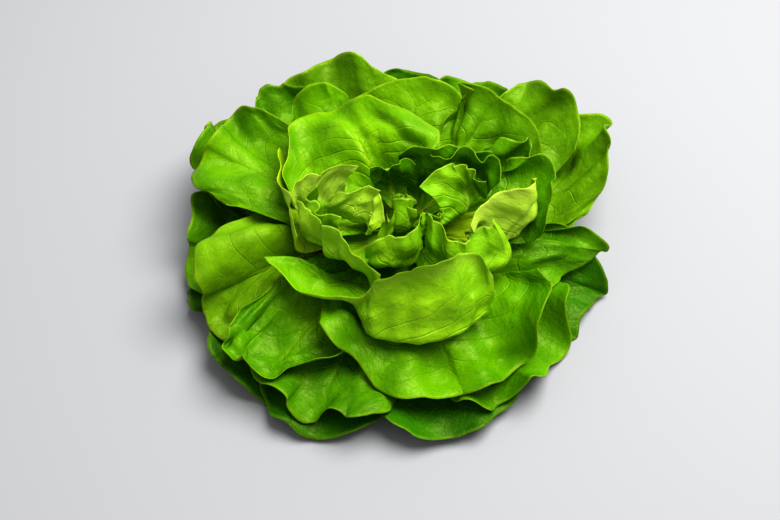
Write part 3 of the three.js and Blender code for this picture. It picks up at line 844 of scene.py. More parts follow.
def lift(blade: Blade, push: Array, half: Array) -> Blade:
    """Move a blade up and inward, and keep it off the stem and the heart.

    A point low down and near the stem goes straight up, any other square to its line from the butt.

    Args:
        blade: The blade to move.
        push: How far each point goes, in millimetres.
        half: Half the blade's thickness there.

    Returns:
        The moved blade.
    """
    distance = blade.distance
    inward = np.maximum(smooth(*INWARD_REACH, blade.reach), smooth(*INWARD_HEIGHT, blade.height))
    dr = -blade.height / distance * inward
    dz = mix(1.0, blade.reach / distance, inward)
    size = np.hypot(dr, dz)
    height = blade.height + push * dz / size
    wall = wall_radius(height) + SOLID.stem_gap + half
    return Blade(blade.azimuth, np.maximum(blade.reach + push * dr / size, wall), height)


class Sky:
    """The steepest direction from the butt at which a placed leaf lies, by azimuth and distance."""

    LEAST_REACH = 8.0

    def __init__(self, azimuths: int, rings: int, ring_step: float) -> None:
        """Start with an empty sky.

        Args:
            azimuths: How many directions round the axis.
            rings: How many distances from the butt.
            ring_step: From one distance to the next, in millimetres.
        """
        self.azimuths = azimuths
        self.rings = rings
        self.ring_step = ring_step
        self.steepest = np.full((azimuths, rings), -1.0)

    def cell(self, azimuth: Array, distance: Array) -> tuple[Array, Array]:
        """Find the cell that each point lies in.

        Args:
            azimuth: Its azimuth.
            distance: Its distance from the butt.

        Returns:
            The number of its direction and of its ring.
        """
        a = np.floor(azimuth * self.azimuths / 360.0 + 0.5).astype(int) % self.azimuths
        ring = np.clip(np.floor(distance / self.ring_step + 0.5).astype(int), 0, self.rings - 1)
        return a, ring

    def rise_to(self, blade: Blade, half: Array, spare: int = 0) -> None:
        """Note that a blade now lies here.

        Args:
            blade: The placed blade.
            half: Half its thickness at each point.
            spare: How many cells more it covers each way.
        """
        distance = blade.distance
        angle = np.arctan2(blade.height, blade.reach) + half / distance
        a, ring = self.cell(blade.azimuth, distance)
        width = np.maximum(blade.reach, self.LEAST_REACH) * math.radians(360.0 / self.azimuths)
        reach_a = np.ceil(half / width).astype(int) + spare
        reach_ring = np.ceil(half / self.ring_step).astype(int) + spare
        for da in range(-int(reach_a.max()), int(reach_a.max()) + 1):
            for dr in range(-int(reach_ring.max()), int(reach_ring.max()) + 1):
                inside = (abs(da) <= reach_a) & (abs(dr) <= reach_ring)
                if not inside.any():
                    continue
                near = (a[inside] + da) % self.azimuths
                far = np.clip(ring[inside] + dr, 0, self.rings - 1)
                np.maximum.at(self.steepest, (near, far), angle[inside])

    def short_of(self, blade: Blade, half: Array, gap: float) -> Array:
        """How far each point of a blade still has to move to clear what lies below it.

        Args:
            blade: The blade to test.
            half: Half its thickness at each point.
            gap: The room to keep.

        Returns:
            Millimetres, 0 where it is already clear.
        """
        distance = blade.distance
        floor = self.steepest[self.cell(blade.azimuth, distance)]
        short = (floor - np.arctan2(blade.height, blade.reach)) * distance + half + gap
        return np.maximum(np.maximum(np.where(floor < 0.0, 0.0, short), half - blade.height), 0.0)


class SolidHead:
    """The leaves as the solids have them, placed on coarse grids from the lowest to the innermost."""

    STEPS = 4
    ROUNDS = 60
    CLEAR = 0.05
    PUSH = 0.6
    BLUR = (2, 1)

    def __init__(self) -> None:
        """Start with an empty sky."""
        self.sky = Sky(azimuths=360, rings=110, ring_step=2.0)

    def samples(self, blade: Blade) -> tuple[Blade, Array, Array]:
        """Points inside every cell of a coarse grid.

        Args:
            blade: The coarse blade.

        Returns:
            The points as a blade of one row, and each one's row and column in the coarse grid.
        """
        rows, columns = blade.reach.shape
        share = np.arange(self.STEPS + 1) / self.STEPS
        j, i, u, v = (part.ravel() for part in np.meshgrid(
            np.arange(rows - 1), np.arange(columns - 1), share, share, indexing="ij"))

        def between(values: Array) -> Array:
            """Read a grid at the points inside its cells.

            Args:
                values: The grid.

            Returns:
                The grid's value at each of the points.
            """
            near = mix(values[j, i], values[j + 1, i], u)
            far = mix(values[j, i + 1], values[j + 1, i + 1], u)
            return mix(near, far, v)

        inside = Blade(between(blade.azimuth), between(blade.reach), between(blade.height))
        return inside, j + u, i + v

    def settle(self, plan: LeafPlan) -> tuple[Array, Array]:
        """Place a leaf on those before it.

        Args:
            plan: The leaf's plan.

        Returns:
            How far each coarse point moved outward and upward.
        """
        along, across = plan.size.value[:2]
        planned = spokes(plan, np.arange(along + 1) / along, np.arange(across + 1) / across)
        blade = planned
        wall_half = SOLID.half(np.arange(along + 1) / along, np.zeros(along + 1))[None, :]
        for _ in range(self.ROUNDS):
            inside, row, column = self.samples(blade)
            half = SOLID.half(column / along, 2.0 * row / across - 1.0)
            short = self.sky.short_of(inside, half, SOLID.gap)
            need = np.zeros_like(blade.reach)
            j = np.repeat(np.arange(across), along * (self.STEPS + 1) ** 2)
            i = np.tile(np.repeat(np.arange(along), (self.STEPS + 1) ** 2), across)
            for dj, di in ((0, 0), (1, 0), (0, 1), (1, 1)):
                np.maximum.at(need, (j + dj, i + di), short)
            if need.max() < self.CLEAR:
                break
            blade = lift(blade, np.maximum(need, soften(need, *self.BLUR)) * self.PUSH, wall_half)
        inside, row, column = self.samples(blade)
        self.sky.rise_to(inside, SOLID.half(column / along, 2.0 * row / across - 1.0))
        return blade.reach - planned.reach, blade.height - planned.height


def catmull_weights(count: int, knots: int) -> Array:
    """Weights that read a smooth curve through evenly spaced knots.

    Args:
        count: How many evenly spaced readings.
        knots: How many knots the curve passes through.

    Returns:
        A matrix of count rows and knots columns.
    """
    place = np.linspace(0.0, knots - 1.0, count)
    left = np.minimum(place.astype(int), knots - 2)
    t = place - left
    parts = (-t + 2 * t ** 2 - t ** 3, 2 - 5 * t ** 2 + 3 * t ** 3,
             t + 4 * t ** 2 - 3 * t ** 3, t ** 3 - t ** 2)
    weights = np.zeros((count, knots))
    for offset, part in zip((-1, 0, 1, 2), parts):
        np.add.at(weights, (np.arange(count), np.clip(left + offset, 0, knots - 1)), 0.5 * part)
    return weights


def stretch(values: Array, rows: int, columns: int) -> Array:
    """Read a coarse grid's smooth surface on a finer grid.

    Args:
        values: The coarse grid.
        rows: The finer grid's rows.
        columns: Its columns.

    Returns:
        The finer grid.
    """
    down = catmull_weights(rows, values.shape[0])
    right = catmull_weights(columns, values.shape[1])
    return down @ values @ right.T


def soft_noise(rng: np.random.Generator, rows: int, columns: int, across: int, along: int) -> Array:
    """Smooth random swells.

    Args:
        rng: The seeded source.
        rows: The grid's rows.
        columns: The grid's columns.
        across: How many swells lie across the rows.
        along: How many lie along the columns.

    Returns:
        Heights of about -1 to 1.
    """
    knots = rng.uniform(-1.0, 1.0, (across + 3, along + 3))
    return stretch(knots, rows, columns)


@dataclass(frozen=True)
class Relief:
    """How a generation's blades wave and pucker.

    Heights and the length of a ruffle are millimetres, curl is degrees, nibble is a share of the
    blade's length, and veins is how many side veins lie along each half.
    """

    swell: float
    ruffle: float
    ruffle_length: float
    curl: float
    pucker: float
    nibble: float
    veins: float


RELIEFS: dict[Age, Relief] = {
    Age.LOW: Relief(
        swell=1.6, ruffle=1.6, ruffle_length=34.0, curl=22.0, pucker=0.25, nibble=0.012, veins=7.0),
    Age.OUTER: Relief(
        swell=2.6, ruffle=2.8, ruffle_length=30.0, curl=26.0, pucker=0.5, nibble=0.015, veins=7.0),
    Age.MIDDLE: Relief(
        swell=3.0, ruffle=3.0, ruffle_length=28.0, curl=28.0, pucker=0.5, nibble=0.014, veins=7.0),
    Age.WRAP: Relief(
        swell=2.6, ruffle=2.0, ruffle_length=26.0, curl=20.0, pucker=0.25, nibble=0.010, veins=7.0),
    Age.INNER: Relief(
        swell=2.6, ruffle=2.0, ruffle_length=20.0, curl=26.0, pucker=0.5, nibble=0.010, veins=6.0),
    Age.HEART: Relief(
        swell=0.3, ruffle=0.4, ruffle_length=6.0, curl=16.0, pucker=0.1, nibble=0.010, veins=5.0),
}


@dataclass
class DrawnBlade:
    """A blade ready to be meshed, with what its finish reads at each point."""

    blade: Blade
    half: Array
    veins: Array
    tissue: Array
    # The leaf's tone, partly its own colour and partly painted shade and painted light
    tone: float


class BladeMaker:
    """Draws one leaf's blade finely: its formula, the move of its solid, and its waves and veins."""

    NIBBLES = (9, 22)
    BROAD_SWELL = 38.0
    NARROW_SWELL = 18.0
    LOOSE_CURL = 30.0
    VEIN_WANDER = 0.035
    VEIN_SWEEP = 0.42
    CUSHION_EDGE = 4.0
    RIB_SINK = 0.9
    TISSUE_STEP = (97.0, 31.0)

    def __init__(self, plan: LeafPlan, seed: int) -> None:
        """Lay out the fine grid.

        Args:
            plan: The leaf's plan.
            seed: The leaf's own seed.
        """
        along, across = plan.size.value[2:]
        self.plan = plan
        self.seed = seed
        self.relief = RELIEFS[plan.age]
        self.rng = np.random.default_rng(seed)
        self.rows = across + 1
        self.columns = along + 1
        self.s = np.linspace(0.0, 1.0, self.columns)[None, :] * np.ones((self.rows, 1))
        self.share = np.linspace(0.0, 1.0, self.rows)[:, None] * np.ones((1, self.columns))
        self.side = 2.0 * self.share - 1.0
        self.half = SKIN.half(self.s, self.side)

    def rim_length(self, blade: Blade) -> float:
        """The length of the blade's rim."""
        rim = blade.place()[:, -1]
        return float(np.linalg.norm(np.diff(rim, axis=0), axis=1).sum())

    def outline(self, moved: tuple[Array, Array]) -> Blade:
        """The smooth blade: its formula with a slightly uneven rim, and the move of its solid.

        Args:
            moved: How far each coarse point moved outward and upward.

        Returns:
            The smooth blade.
        """
        wide, narrow = self.NIBBLES
        uneven = soft_noise(self.rng, self.rows, 1, wide, 1)
        uneven = uneven + 0.3 * soft_noise(self.rng, self.rows, 1, narrow, 1)
        cut = self.relief.nibble * (1.0 + uneven) * self.plan.ruffle
        s = self.s * (1.0 - cut * self.s ** 4)
        blade = spokes(self.plan, s, self.share[:, 0])
        blade.reach = blade.reach + stretch(moved[0], self.rows, self.columns)
        blade.height = blade.height + stretch(moved[1], self.rows, self.columns)
        return blade

    def normals(self, blade: Blade) -> Array:
        """Find the way that a blade's face looks.

        Args:
            blade: The blade.

        Returns:
            A unit vector for each point.
        """
        point = blade.place()
        along = np.gradient(point, axis=1)
        across = np.gradient(point, axis=0)
        normal = np.cross(along, across)
        return normal / np.maximum(np.linalg.norm(normal, axis=-1, keepdims=True), 1e-9)

    def layout(self, blade: Blade) -> tuple[Array, Array, Array, Array]:
        """Where each point lies on the flat blade, and where the side veins run.

        Args:
            blade: The smooth blade.

        Returns:
            Millimetres across from the rib, millimetres along from the base, the side veins'
            count, whole on a vein, and the millimetres from one vein to the next.
        """
        point = blade.place()
        steps = np.linalg.norm(np.diff(point, axis=0), axis=-1)
        across = np.concatenate((np.zeros((1, self.columns)), np.cumsum(steps, axis=0)))
        across = across - across[self.rows // 2][None, :]
        runs = np.linalg.norm(np.diff(point, axis=1), axis=-1)
        along = np.concatenate((np.zeros((self.rows, 1)), np.cumsum(runs, axis=1)), axis=1)
        bend = self.VEIN_WANDER * soft_noise(self.rng, self.rows, self.columns, 5, 5)
        x = np.abs(self.side)
        count = self.relief.veins * (self.s + bend - self.VEIN_SWEEP * x ** 0.8)
        count = count + np.where(self.side < 0.0, 0.5, 0.0) * smooth(0.0, 0.03, x)
        slope_s = np.gradient(count, axis=1) / np.maximum(np.gradient(along, axis=1), 0.05)
        slope_x = np.gradient(count, axis=0) / np.maximum(np.gradient(across, axis=0), 0.02)
        spacing = 1.0 / np.maximum(np.hypot(slope_s, slope_x), 0.02)
        return across, along, count, np.clip(spacing, 0.5, 40.0)

    def creases(self) -> Array:
        """Work out the plan's own ridges and grooves.

        Returns:
            Millimetres along the normal, at each point.
        """
        total = np.zeros_like(self.s)
        for crease in self.plan.creases:
            start, end = np.array(crease.start), np.array(crease.end)
            run = end - start
            x, y = self.s - start[0], self.share - start[1]
            t = np.clip((x * run[0] + y * run[1]) / (run @ run), 0.0, 1.0)
            off = np.hypot(x - t * run[0], y - t * run[1])
            total += crease.height * smooth(0.0, 1.0, 0.1 + t) * np.exp(-((off / crease.width) ** 2))
        return total

    def waves(self, blade: Blade, across: Array, count: Array, spacing: Array) -> Array:
        """How far each point stands off the smooth blade.

        Args:
            blade: The smooth blade.
            across: Millimetres from the rib.
            count: The side veins' count.
            spacing: Millimetres from one side vein to the next.

        Returns:
            Millimetres along the normal.
        """
        relief, s = self.relief, self.s
        shape = (self.rows, self.columns)
        rim = self.rim_length(blade)
        swells = soft_noise(self.rng, *shape, max(3, int(rim / self.BROAD_SWELL)), 4)
        swells += 0.5 * soft_noise(self.rng, *shape, max(5, int(rim / self.NARROW_SWELL)), 8)
        ripples = soft_noise(self.rng, *shape, max(4, int(rim / relief.ruffle_length * 1.6)), 3)
        ripples += 0.2 * soft_noise(self.rng, *shape, max(8, int(rim / relief.ruffle_length * 3.2)), 5)
        to_vein = np.abs(count - np.round(count)) * spacing
        cushions = 1.0 - np.exp(-((to_vein / self.CUSHION_EDGE) ** 2))
        rib = np.exp(-((across / (1.2 + 2.2 * (1.0 - s))) ** 2)) * (1.0 - smooth(0.55, 0.95, s))
        body = smooth(0.12, 0.5, s)
        height = relief.swell * swells * smooth(0.1, 0.8, s)
        height += relief.ruffle * self.plan.ruffle * ripples * s ** 3
        height += relief.pucker * (cushions - 0.5) * body * (1.0 - 0.6 * smooth(0.8, 1.0, s))
        height -= self.RIB_SINK * rib * smooth(0.05, 0.3, s)
        return height + self.creases()

    def rolled(self, blade: Blade) -> Blade:
        """Turn the blade back or inward towards its rim, evenly and in soft ruffles.

        Args:
            blade: The waved blade.

        Returns:
            The blade with its runs to the rim turned.
        """
        rim = self.rim_length(blade)
        loose = soft_noise(self.rng, self.rows, 1, max(3, int(rim / self.LOOSE_CURL)), 1)
        turn = self.relief.curl * self.plan.ruffle * loose * smooth(0.45, 1.0, self.s)
        if self.plan.rolls:
            own = catmull_weights(self.rows, len(self.plan.rolls)) @ np.array(self.plan.rolls)
            turn = turn + own[:, None] * smooth(self.plan.roll_from, 1.0, self.s)
        point = blade.place()
        runs = np.diff(point, axis=1)
        axis = np.gradient(point, axis=0)
        axis = axis / np.maximum(np.linalg.norm(axis, axis=-1, keepdims=True), 1e-9)
        axis = axis[:, :-1]
        angle = np.radians(turn[:, :-1])[..., None]
        level = (axis * runs).sum(axis=-1, keepdims=True) * axis
        turned = level + (runs - level) * np.cos(angle) + np.cross(axis, runs) * np.sin(angle)
        placed = np.concatenate((point[:, :1], point[:, :1] + np.cumsum(turned, axis=1)), axis=1)
        return blade.moved(placed - point)

    def draw(self, moved: tuple[Array, Array]) -> DrawnBlade:
        """Draw the blade, not yet clear of its neighbours.

        Args:
            moved: How far each coarse point of its solid moved outward and upward.

        Returns:
            The drawn blade.
        """
        smooth_blade = self.outline(moved)
        across, along, count, spacing = self.layout(smooth_blade)
        height = self.waves(smooth_blade, across, count, spacing)
        blade = self.rolled(smooth_blade.moved(self.normals(smooth_blade) * height[..., None]))
        veins = np.stack((across, count, spacing), axis=-1)
        offset_across, offset_along = (step * self.seed for step in self.TISSUE_STEP)
        tissue = np.stack((across + offset_across, along + offset_along, self.s), axis=-1)
        return DrawnBlade(blade, self.half, veins, tissue, self.plan.tone)


class DrawnHead:
    """The leaves as they are drawn, each lifted clear of those before it."""

    ROUNDS = 24
    CLEAR = 0.04
    PUSH = 0.8
    SPREAD = (2, 2)
    BLUR = (3, 3)
    LEAST_SHARE = 0.7

    def __init__(self) -> None:
        """Start with an empty sky."""
        self.sky = Sky(azimuths=720, rings=220, ring_step=1.0)

    def settle(self, drawn: DrawnBlade) -> float:
        """Lift a drawn blade clear and note where it lies.

        Args:
            drawn: The blade, which is changed.

        Returns:
            The farthest that any point moved, in millimetres.
        """
        start = drawn.blade
        for _ in range(self.ROUNDS):
            need = self.sky.short_of(drawn.blade, drawn.half, SKIN.gap)
            if need.max() < self.CLEAR:
                break
            wide = soften(widen(need, *self.SPREAD), *self.BLUR)
            push = np.maximum(wide, self.LEAST_SHARE * need)
            drawn.blade = lift(drawn.blade, push * self.PUSH, drawn.half)
        self.sky.rise_to(drawn.blade, drawn.half, 1)
        return float(np.hypot(drawn.blade.reach - start.reach, drawn.blade.height - start.height).max())


def keep_inside(place: Array, half: Array, low: Vector, high: Vector) -> Array:
    """Keep points inside the solid model's box.

    Args:
        place: The points, in metres.
        half: Half the blade's thickness there, in metres.
        low: The box's lowest corner.
        high: The box's highest corner.

    Returns:
        The points, with those beyond the box drawn back to it.
    """
    room = half[..., None]
    return np.clip(place, np.array(low) + room, np.array(high) - room)


class BladePiece:
    """One object of one or more drawn blades, with a face and a back finish."""

    def __init__(self, name: str, blades: list[DrawnBlade], low: Vector, high: Vector) -> None:
        """Keep what the piece is made of.

        Args:
            name: The object's name.
            blades: Its blades.
            low: The solid model's lowest corner.
            high: Its highest corner.
        """
        self.name = name
        self.blades = blades
        self.low = low
        self.high = high

    def grid(self, rows: int, columns: int) -> tuple[bpy.types.Mesh, Array, Array]:
        """A flat grid.

        Args:
            rows: How many points lie across.
            columns: How many lie along.

        Returns:
            The mesh, and each vertex's row and column.
        """
        bm = bmesh.new()
        bmesh.ops.create_grid(bm, x_segments=columns - 1, y_segments=rows - 1, size=0.5)
        mesh = bpy.data.meshes.new(self.name)
        bm.to_mesh(mesh)
        bm.free()
        flat = np.empty(len(mesh.vertices) * 3)
        mesh.vertices.foreach_get("co", flat)
        flat = flat.reshape(-1, 3)
        span = flat.max(axis=0) - flat.min(axis=0)
        share = (flat - flat.min(axis=0))[:, :2] / span[:2]
        column = np.rint(share[:, 0] * (columns - 1)).astype(int)
        row = np.rint(share[:, 1] * (rows - 1)).astype(int)
        return mesh, row, column

    def sheet(self, drawn: DrawnBlade) -> bpy.types.Object:
        """Make one blade without thickness, with its attributes and weights.

        Args:
            drawn: The drawn blade.

        Returns:
            The sheet's object.
        """
        rows, columns = drawn.half.shape
        mesh, row, column = self.grid(rows, columns)
        place = keep_inside(drawn.blade.place() * MM, drawn.half * MM, self.low, self.high)
        mesh.vertices.foreach_set("co", place[row, column].ravel())
        for name, values in (("veins", drawn.veins), ("tissue", drawn.tissue)):
            attribute = mesh.attributes.new(name, "FLOAT_VECTOR", "POINT")
            attribute.data.foreach_set("vector", values[row, column].ravel())
        # Each leaf's tone, partly its own colour and partly painted shade and painted light
        tone = mesh.attributes.new("tone", "FLOAT", "POINT")
        tone.data.foreach_set("value", np.full(len(mesh.vertices), drawn.tone))
        mesh.shade_smooth()
        sheet = bpy.data.objects.new(self.name, mesh)
        bpy.context.scene.collection.objects.link(sheet)
        group = sheet.vertex_groups.new(name="thickness")
        weights = 2.0 * drawn.half[row, column] / SKIN.most
        for index, weight in enumerate(weights):
            group.add([index], float(weight), "REPLACE")
        return sheet

    def build(self, face: bpy.types.Material, back: bpy.types.Material) -> bpy.types.Object:
        """Build the object and give it its thickness and its finishes.

        Args:
            face: The material of the side that looks to the heart.
            back: The material of the other side.

        Returns:
            The finished object.
        """
        sheets = [self.sheet(drawn) for drawn in self.blades]
        piece = sheets[0]
        if len(sheets) > 1:
            with bpy.context.temp_override(active_object=piece, selected_editable_objects=sheets):
                bpy.ops.object.join()
        piece.data.materials.append(face)
        piece.data.materials.append(back)
        skin = piece.modifiers.new("skin", "SOLIDIFY")
        skin.thickness = SKIN.most * MM
        skin.offset = 0.0
        skin.vertex_group = "thickness"
        skin.thickness_vertex_group = 0.0
        skin.material_offset = 1
        skin.material_offset_rim = 0
        return piece


class Value:
    """A shader value that Python's arithmetic extends with Math nodes."""

    def __init__(self, shader: Shader, socket: bpy.types.NodeSocket) -> None:
        """Wrap a socket of a shader's tree."""
        self.shader = shader
        self.socket = socket

    def math(self, operation: str, *others: Union[Value, float], clamp: bool = False) -> Value:
        """One Math node on this value.

        Args:
            operation: The node's operation.
            others: Its other inputs.
            clamp: Whether the result is kept between 0 and 1.

        Returns:
            The result.
        """
        inputs = {index: other for index, other in enumerate((self, *others))}
        node = self.shader.node("ShaderNodeMath", {"operation": operation, "use_clamp": clamp}, inputs)
        return Value(self.shader, node.outputs[0])

    def flipped(self, operation: str, other: float) -> Value:
        """One Math node with a number first and this value second."""
        node = self.shader.node("ShaderNodeMath", {"operation": operation}, {0: other, 1: self})
        return Value(self.shader, node.outputs[0])

    def __add__(self, other: Union[Value, float]) -> Value:
        """This plus other."""
        return self.math("ADD", other)

    def __radd__(self, other: float) -> Value:
        """Other plus this."""
        return self.math("ADD", other)

    def __sub__(self, other: Union[Value, float]) -> Value:
        """This minus other."""
        return self.math("SUBTRACT", other)

    def __rsub__(self, other: float) -> Value:
        """Other minus this."""
        return self.flipped("SUBTRACT", other)

    def __mul__(self, other: Union[Value, float]) -> Value:
        """This times other."""
        return self.math("MULTIPLY", other)

    def __rmul__(self, other: float) -> Value:
        """Other times this."""
        return self.math("MULTIPLY", other)

    def __truediv__(self, other: Union[Value, float]) -> Value:
        """This divided by other."""
        return self.math("DIVIDE", other)

    def __rtruediv__(self, other: float) -> Value:
        """Other divided by this."""
        return self.flipped("DIVIDE", other)

    def clamped(self) -> Value:
        """This, kept between 0 and 1."""
        return self.math("ADD", 0.0, clamp=True)


Input = Union[Value, bpy.types.NodeSocket, float, tuple]


class Shader:
    """A material's node tree, with the few ways in which this scene adds to it."""

    def __init__(self, name: str) -> None:
        """Start a material with a Principled surface.

        Args:
            name: The material's name.
        """
        self.material = bpy.data.materials.new(name)
        self.material.use_nodes = True
        self.tree = self.material.node_tree
        self.surface = self.tree.nodes["Principled BSDF"]

    def node(self, kind: str, settings: dict[str, object],
             inputs: dict[Union[str, int], Input]) -> bpy.types.Node:
        """Add any node.

        Args:
            kind: The node's type.
            settings: What is set on it first, such as a Math node's operation.
            inputs: The values or the links of its sockets, by name or number.

        Returns:
            The node.
        """
        node = self.tree.nodes.new(kind)
        for name, setting in settings.items():
            setattr(node, name, setting)
        for key, value in inputs.items():
            self.feed(node.inputs[key], value)
        return node

    def feed(self, socket: bpy.types.NodeSocket, value: Input) -> None:
        """Set a socket or link it.

        Args:
            socket: The socket.
            value: A number, a colour, a vector, a socket or a Value.
        """
        if isinstance(value, Value):
            self.tree.links.new(value.socket, socket)
        elif isinstance(value, bpy.types.NodeSocket):
            self.tree.links.new(value, socket)
        elif isinstance(value, tuple) and socket.type == "RGBA":
            socket.default_value = (*value, 1.0)[:4]
        else:
            socket.default_value = value

    def attribute(self, name: str) -> tuple[bpy.types.NodeSocket, Value, Value, Value]:
        """A vector attribute of the mesh.

        Args:
            name: The attribute's name.

        Returns:
            The vector, and its three parts.
        """
        vector = self.node("ShaderNodeAttribute", {"attribute_name": name}, {}).outputs["Vector"]
        parts = self.node("ShaderNodeSeparateXYZ", {}, {0: vector}).outputs
        return vector, Value(self, parts[0]), Value(self, parts[1]), Value(self, parts[2])

    def number(self, name: str) -> Value:
        """A float attribute of the mesh."""
        return Value(self, self.node("ShaderNodeAttribute", {"attribute_name": name}, {}).outputs["Fac"])

    def noise(self, where: bpy.types.NodeSocket, scale: float, detail: float = 2.0) -> Value:
        """Soft noise of about 0 to 1."""
        node = self.node("ShaderNodeTexNoise", {}, {"Vector": where, "Scale": scale, "Detail": detail})
        return Value(self, node.outputs["Fac"])

    def step(self, value: Value, low: float, high: float) -> Value:
        """Step softly from 0 to 1.

        Args:
            value: What is read.
            low: Where the result is 0.
            high: Where it is 1. It may be the smaller of the two.

        Returns:
            The result.
        """
        node = self.node("ShaderNodeMapRange", {"interpolation_type": "SMOOTHSTEP"},
                         {"Value": value, "From Min": min(low, high), "From Max": max(low, high),
                          "To Min": 0.0 if low < high else 1.0, "To Max": 1.0 if low < high else 0.0})
        return Value(self, node.outputs["Result"])

    def blend(self, a: Input, b: Input, share: Input) -> bpy.types.NodeSocket:
        """A colour between two."""
        node = self.node("ShaderNodeMix", {"data_type": "RGBA"}, {0: share, 6: a, 7: b})
        return node.outputs[2]

    def roughen(self, height: Value, strength: float, depth: float) -> None:
        """Give the surface a bump.

        Args:
            height: The bump's height, of about 0 to 1.
            strength: How strongly it shows.
            depth: How deep a height of 1 is, in metres.
        """
        bump = self.node("ShaderNodeBump", {}, {"Height": height, "Strength": strength, "Distance": depth})
        self.feed(self.surface.inputs["Normal"], bump.outputs["Normal"])


@dataclass(frozen=True)
class LeafFinish:
    """How one side of a generation's blades looks.

    Pale_reach is how far the pale base runs and edge how wide the pale rim is, as shares of the
    blade's length. The pale rim is partly the leaf's paler margin and partly painted light, the bright
    band that a rolled rim shows in the light. The scale of the patches is per metre, the others are
    per millimetre. A vein's width is its end's and, towards the base, up to its taper more, in
    millimetres to each side.
    """

    PATCH_SCALE = 26.0
    PATCH_EDGES = (0.32, 0.7)
    FLECK_SCALE = 0.55
    BLISTER_SCALE = 0.11
    BASE_BEND_SCALE = 0.05
    RIM_BEND_SCALE = 0.09
    NET_SCALE = 0.19
    NET_BEND_SCALE = 0.12
    NET_BEND = (7.0, 7.0, 0.0)
    RIB_END = 0.35
    RIB_TAPER = 2.6
    LATERAL_END = 0.3
    LATERAL_TAPER = 0.9
    BUMP_DEPTH = 0.0014
    SHINE_TINT = (0.95, 1.0, 0.3)
    GLOW = 0.25
    GLOW_TINT = (0.9, 1.0, 0.25)
    GLOW_DEPTH = 0.0012

    name: str
    deep: Colour
    bright: Colour
    pale: Colour
    vein: Colour
    pale_reach: float
    vein_strength: float
    roughness: float
    specular: float
    relief: float
    # How wide the pale rim is; the rim is partly a paler margin, partly painted light
    edge: float = 0.012

    def make(self) -> bpy.types.Material:
        """Make the material.

        Returns:
            The material.
        """
        shader = Shader(self.name)
        where = shader.node("ShaderNodeTexCoord", {}, {}).outputs["Object"]
        _, across, count, spacing = shader.attribute("veins")
        tissue, _, _, s = shader.attribute("tissue")
        rib = self.rib(shader, across, s)
        laterals = self.laterals(shader, count, spacing, s)
        net = self.net(shader, tissue)
        patches = shader.step(shader.noise(where, self.PATCH_SCALE, 3.0), *self.PATCH_EDGES)
        flecks = shader.noise(tissue, self.FLECK_SCALE, 4.0)
        # The leaf's tone: partly its own colour, partly painted shade that darkens leaves lying in shade
        # and painted light that pales brightly lit ones
        tone = shader.number("tone")
        share = patches * 0.7 + flecks * 0.4 - 0.05 + tone * 0.55
        colour = shader.blend(self.deep, self.bright, share.clamped())
        base_bend = shader.noise(tissue, self.BASE_BEND_SCALE) * 0.16
        base = shader.step(s + base_bend, self.pale_reach + 0.1, 0.02)
        # The pale rim: partly the leaf's paler margin, partly painted light for the bright band of a
        # rolled rim
        rim_bend = shader.noise(tissue, self.RIM_BEND_SCALE) * self.edge * 2.0
        rim = shader.step(s + rim_bend, 1.0 - self.edge, 1.0 + self.edge)
        # Paler at the base, at the rim and by the tone; the rim and the tone are partly painted light and
        # shade
        paleness = base * 0.85 + rim * 0.3 + (tone * 0.5).clamped()
        colour = shader.blend(colour, self.pale, paleness.clamped())
        lines = (rib * 1.6 + laterals * 0.55 + net * 0.12) * self.vein_strength
        colour = shader.blend(colour, self.vein, lines.clamped())
        shader.feed(shader.surface.inputs["Base Color"], colour)
        shader.feed(shader.surface.inputs["Roughness"], flecks * 0.16 + (self.roughness - 0.08))
        shader.feed(shader.surface.inputs["Specular IOR Level"], self.specular)
        shader.feed(shader.surface.inputs["Specular Tint"], self.SHINE_TINT)
        shader.feed(shader.surface.inputs["Subsurface Weight"], self.GLOW)
        shader.feed(shader.surface.inputs["Subsurface Radius"], self.GLOW_TINT)
        shader.feed(shader.surface.inputs["Subsurface Scale"], self.GLOW_DEPTH)
        blisters = shader.noise(tissue, self.BLISTER_SCALE) * 1.2
        height = blisters + flecks * 0.07 - laterals * 0.3 - net * 0.08 - rib * 0.3
        shader.roughen(height, self.relief, self.BUMP_DEPTH)
        return shader.material

    def rib(self, shader: Shader, across: Value, s: Value) -> Value:
        """The midrib, wide at the base and gone before the rim.

        Args:
            shader: The material's shader.
            across: Millimetres across the blade.
            s: The place along it, from 0 to 1.

        Returns:
            1 on the rib and 0 off it.
        """
        width = (1.0 - s) * self.RIB_TAPER + self.RIB_END
        line = 1.0 - (across.math("ABSOLUTE") / width).clamped()
        return line * shader.step(s, 0.95, 0.5)

    def laterals(self, shader: Shader, count: Value, spacing: Value, s: Value) -> Value:
        """The side veins, thinner towards the rim.

        Args:
            shader: The material's shader.
            count: Which vein is near, as a running number.
            spacing: Millimetres from one vein to the next.
            s: The place along the blade, from 0 to 1.

        Returns:
            1 on a vein and 0 off it.
        """
        off = ((count + 0.5).math("FRACT") - 0.5).math("ABSOLUTE") * spacing
        width = (1.0 - s) * self.LATERAL_TAPER + self.LATERAL_END
        return (1.0 - (off / width).clamped()) * shader.step(s, 1.0, 0.7)

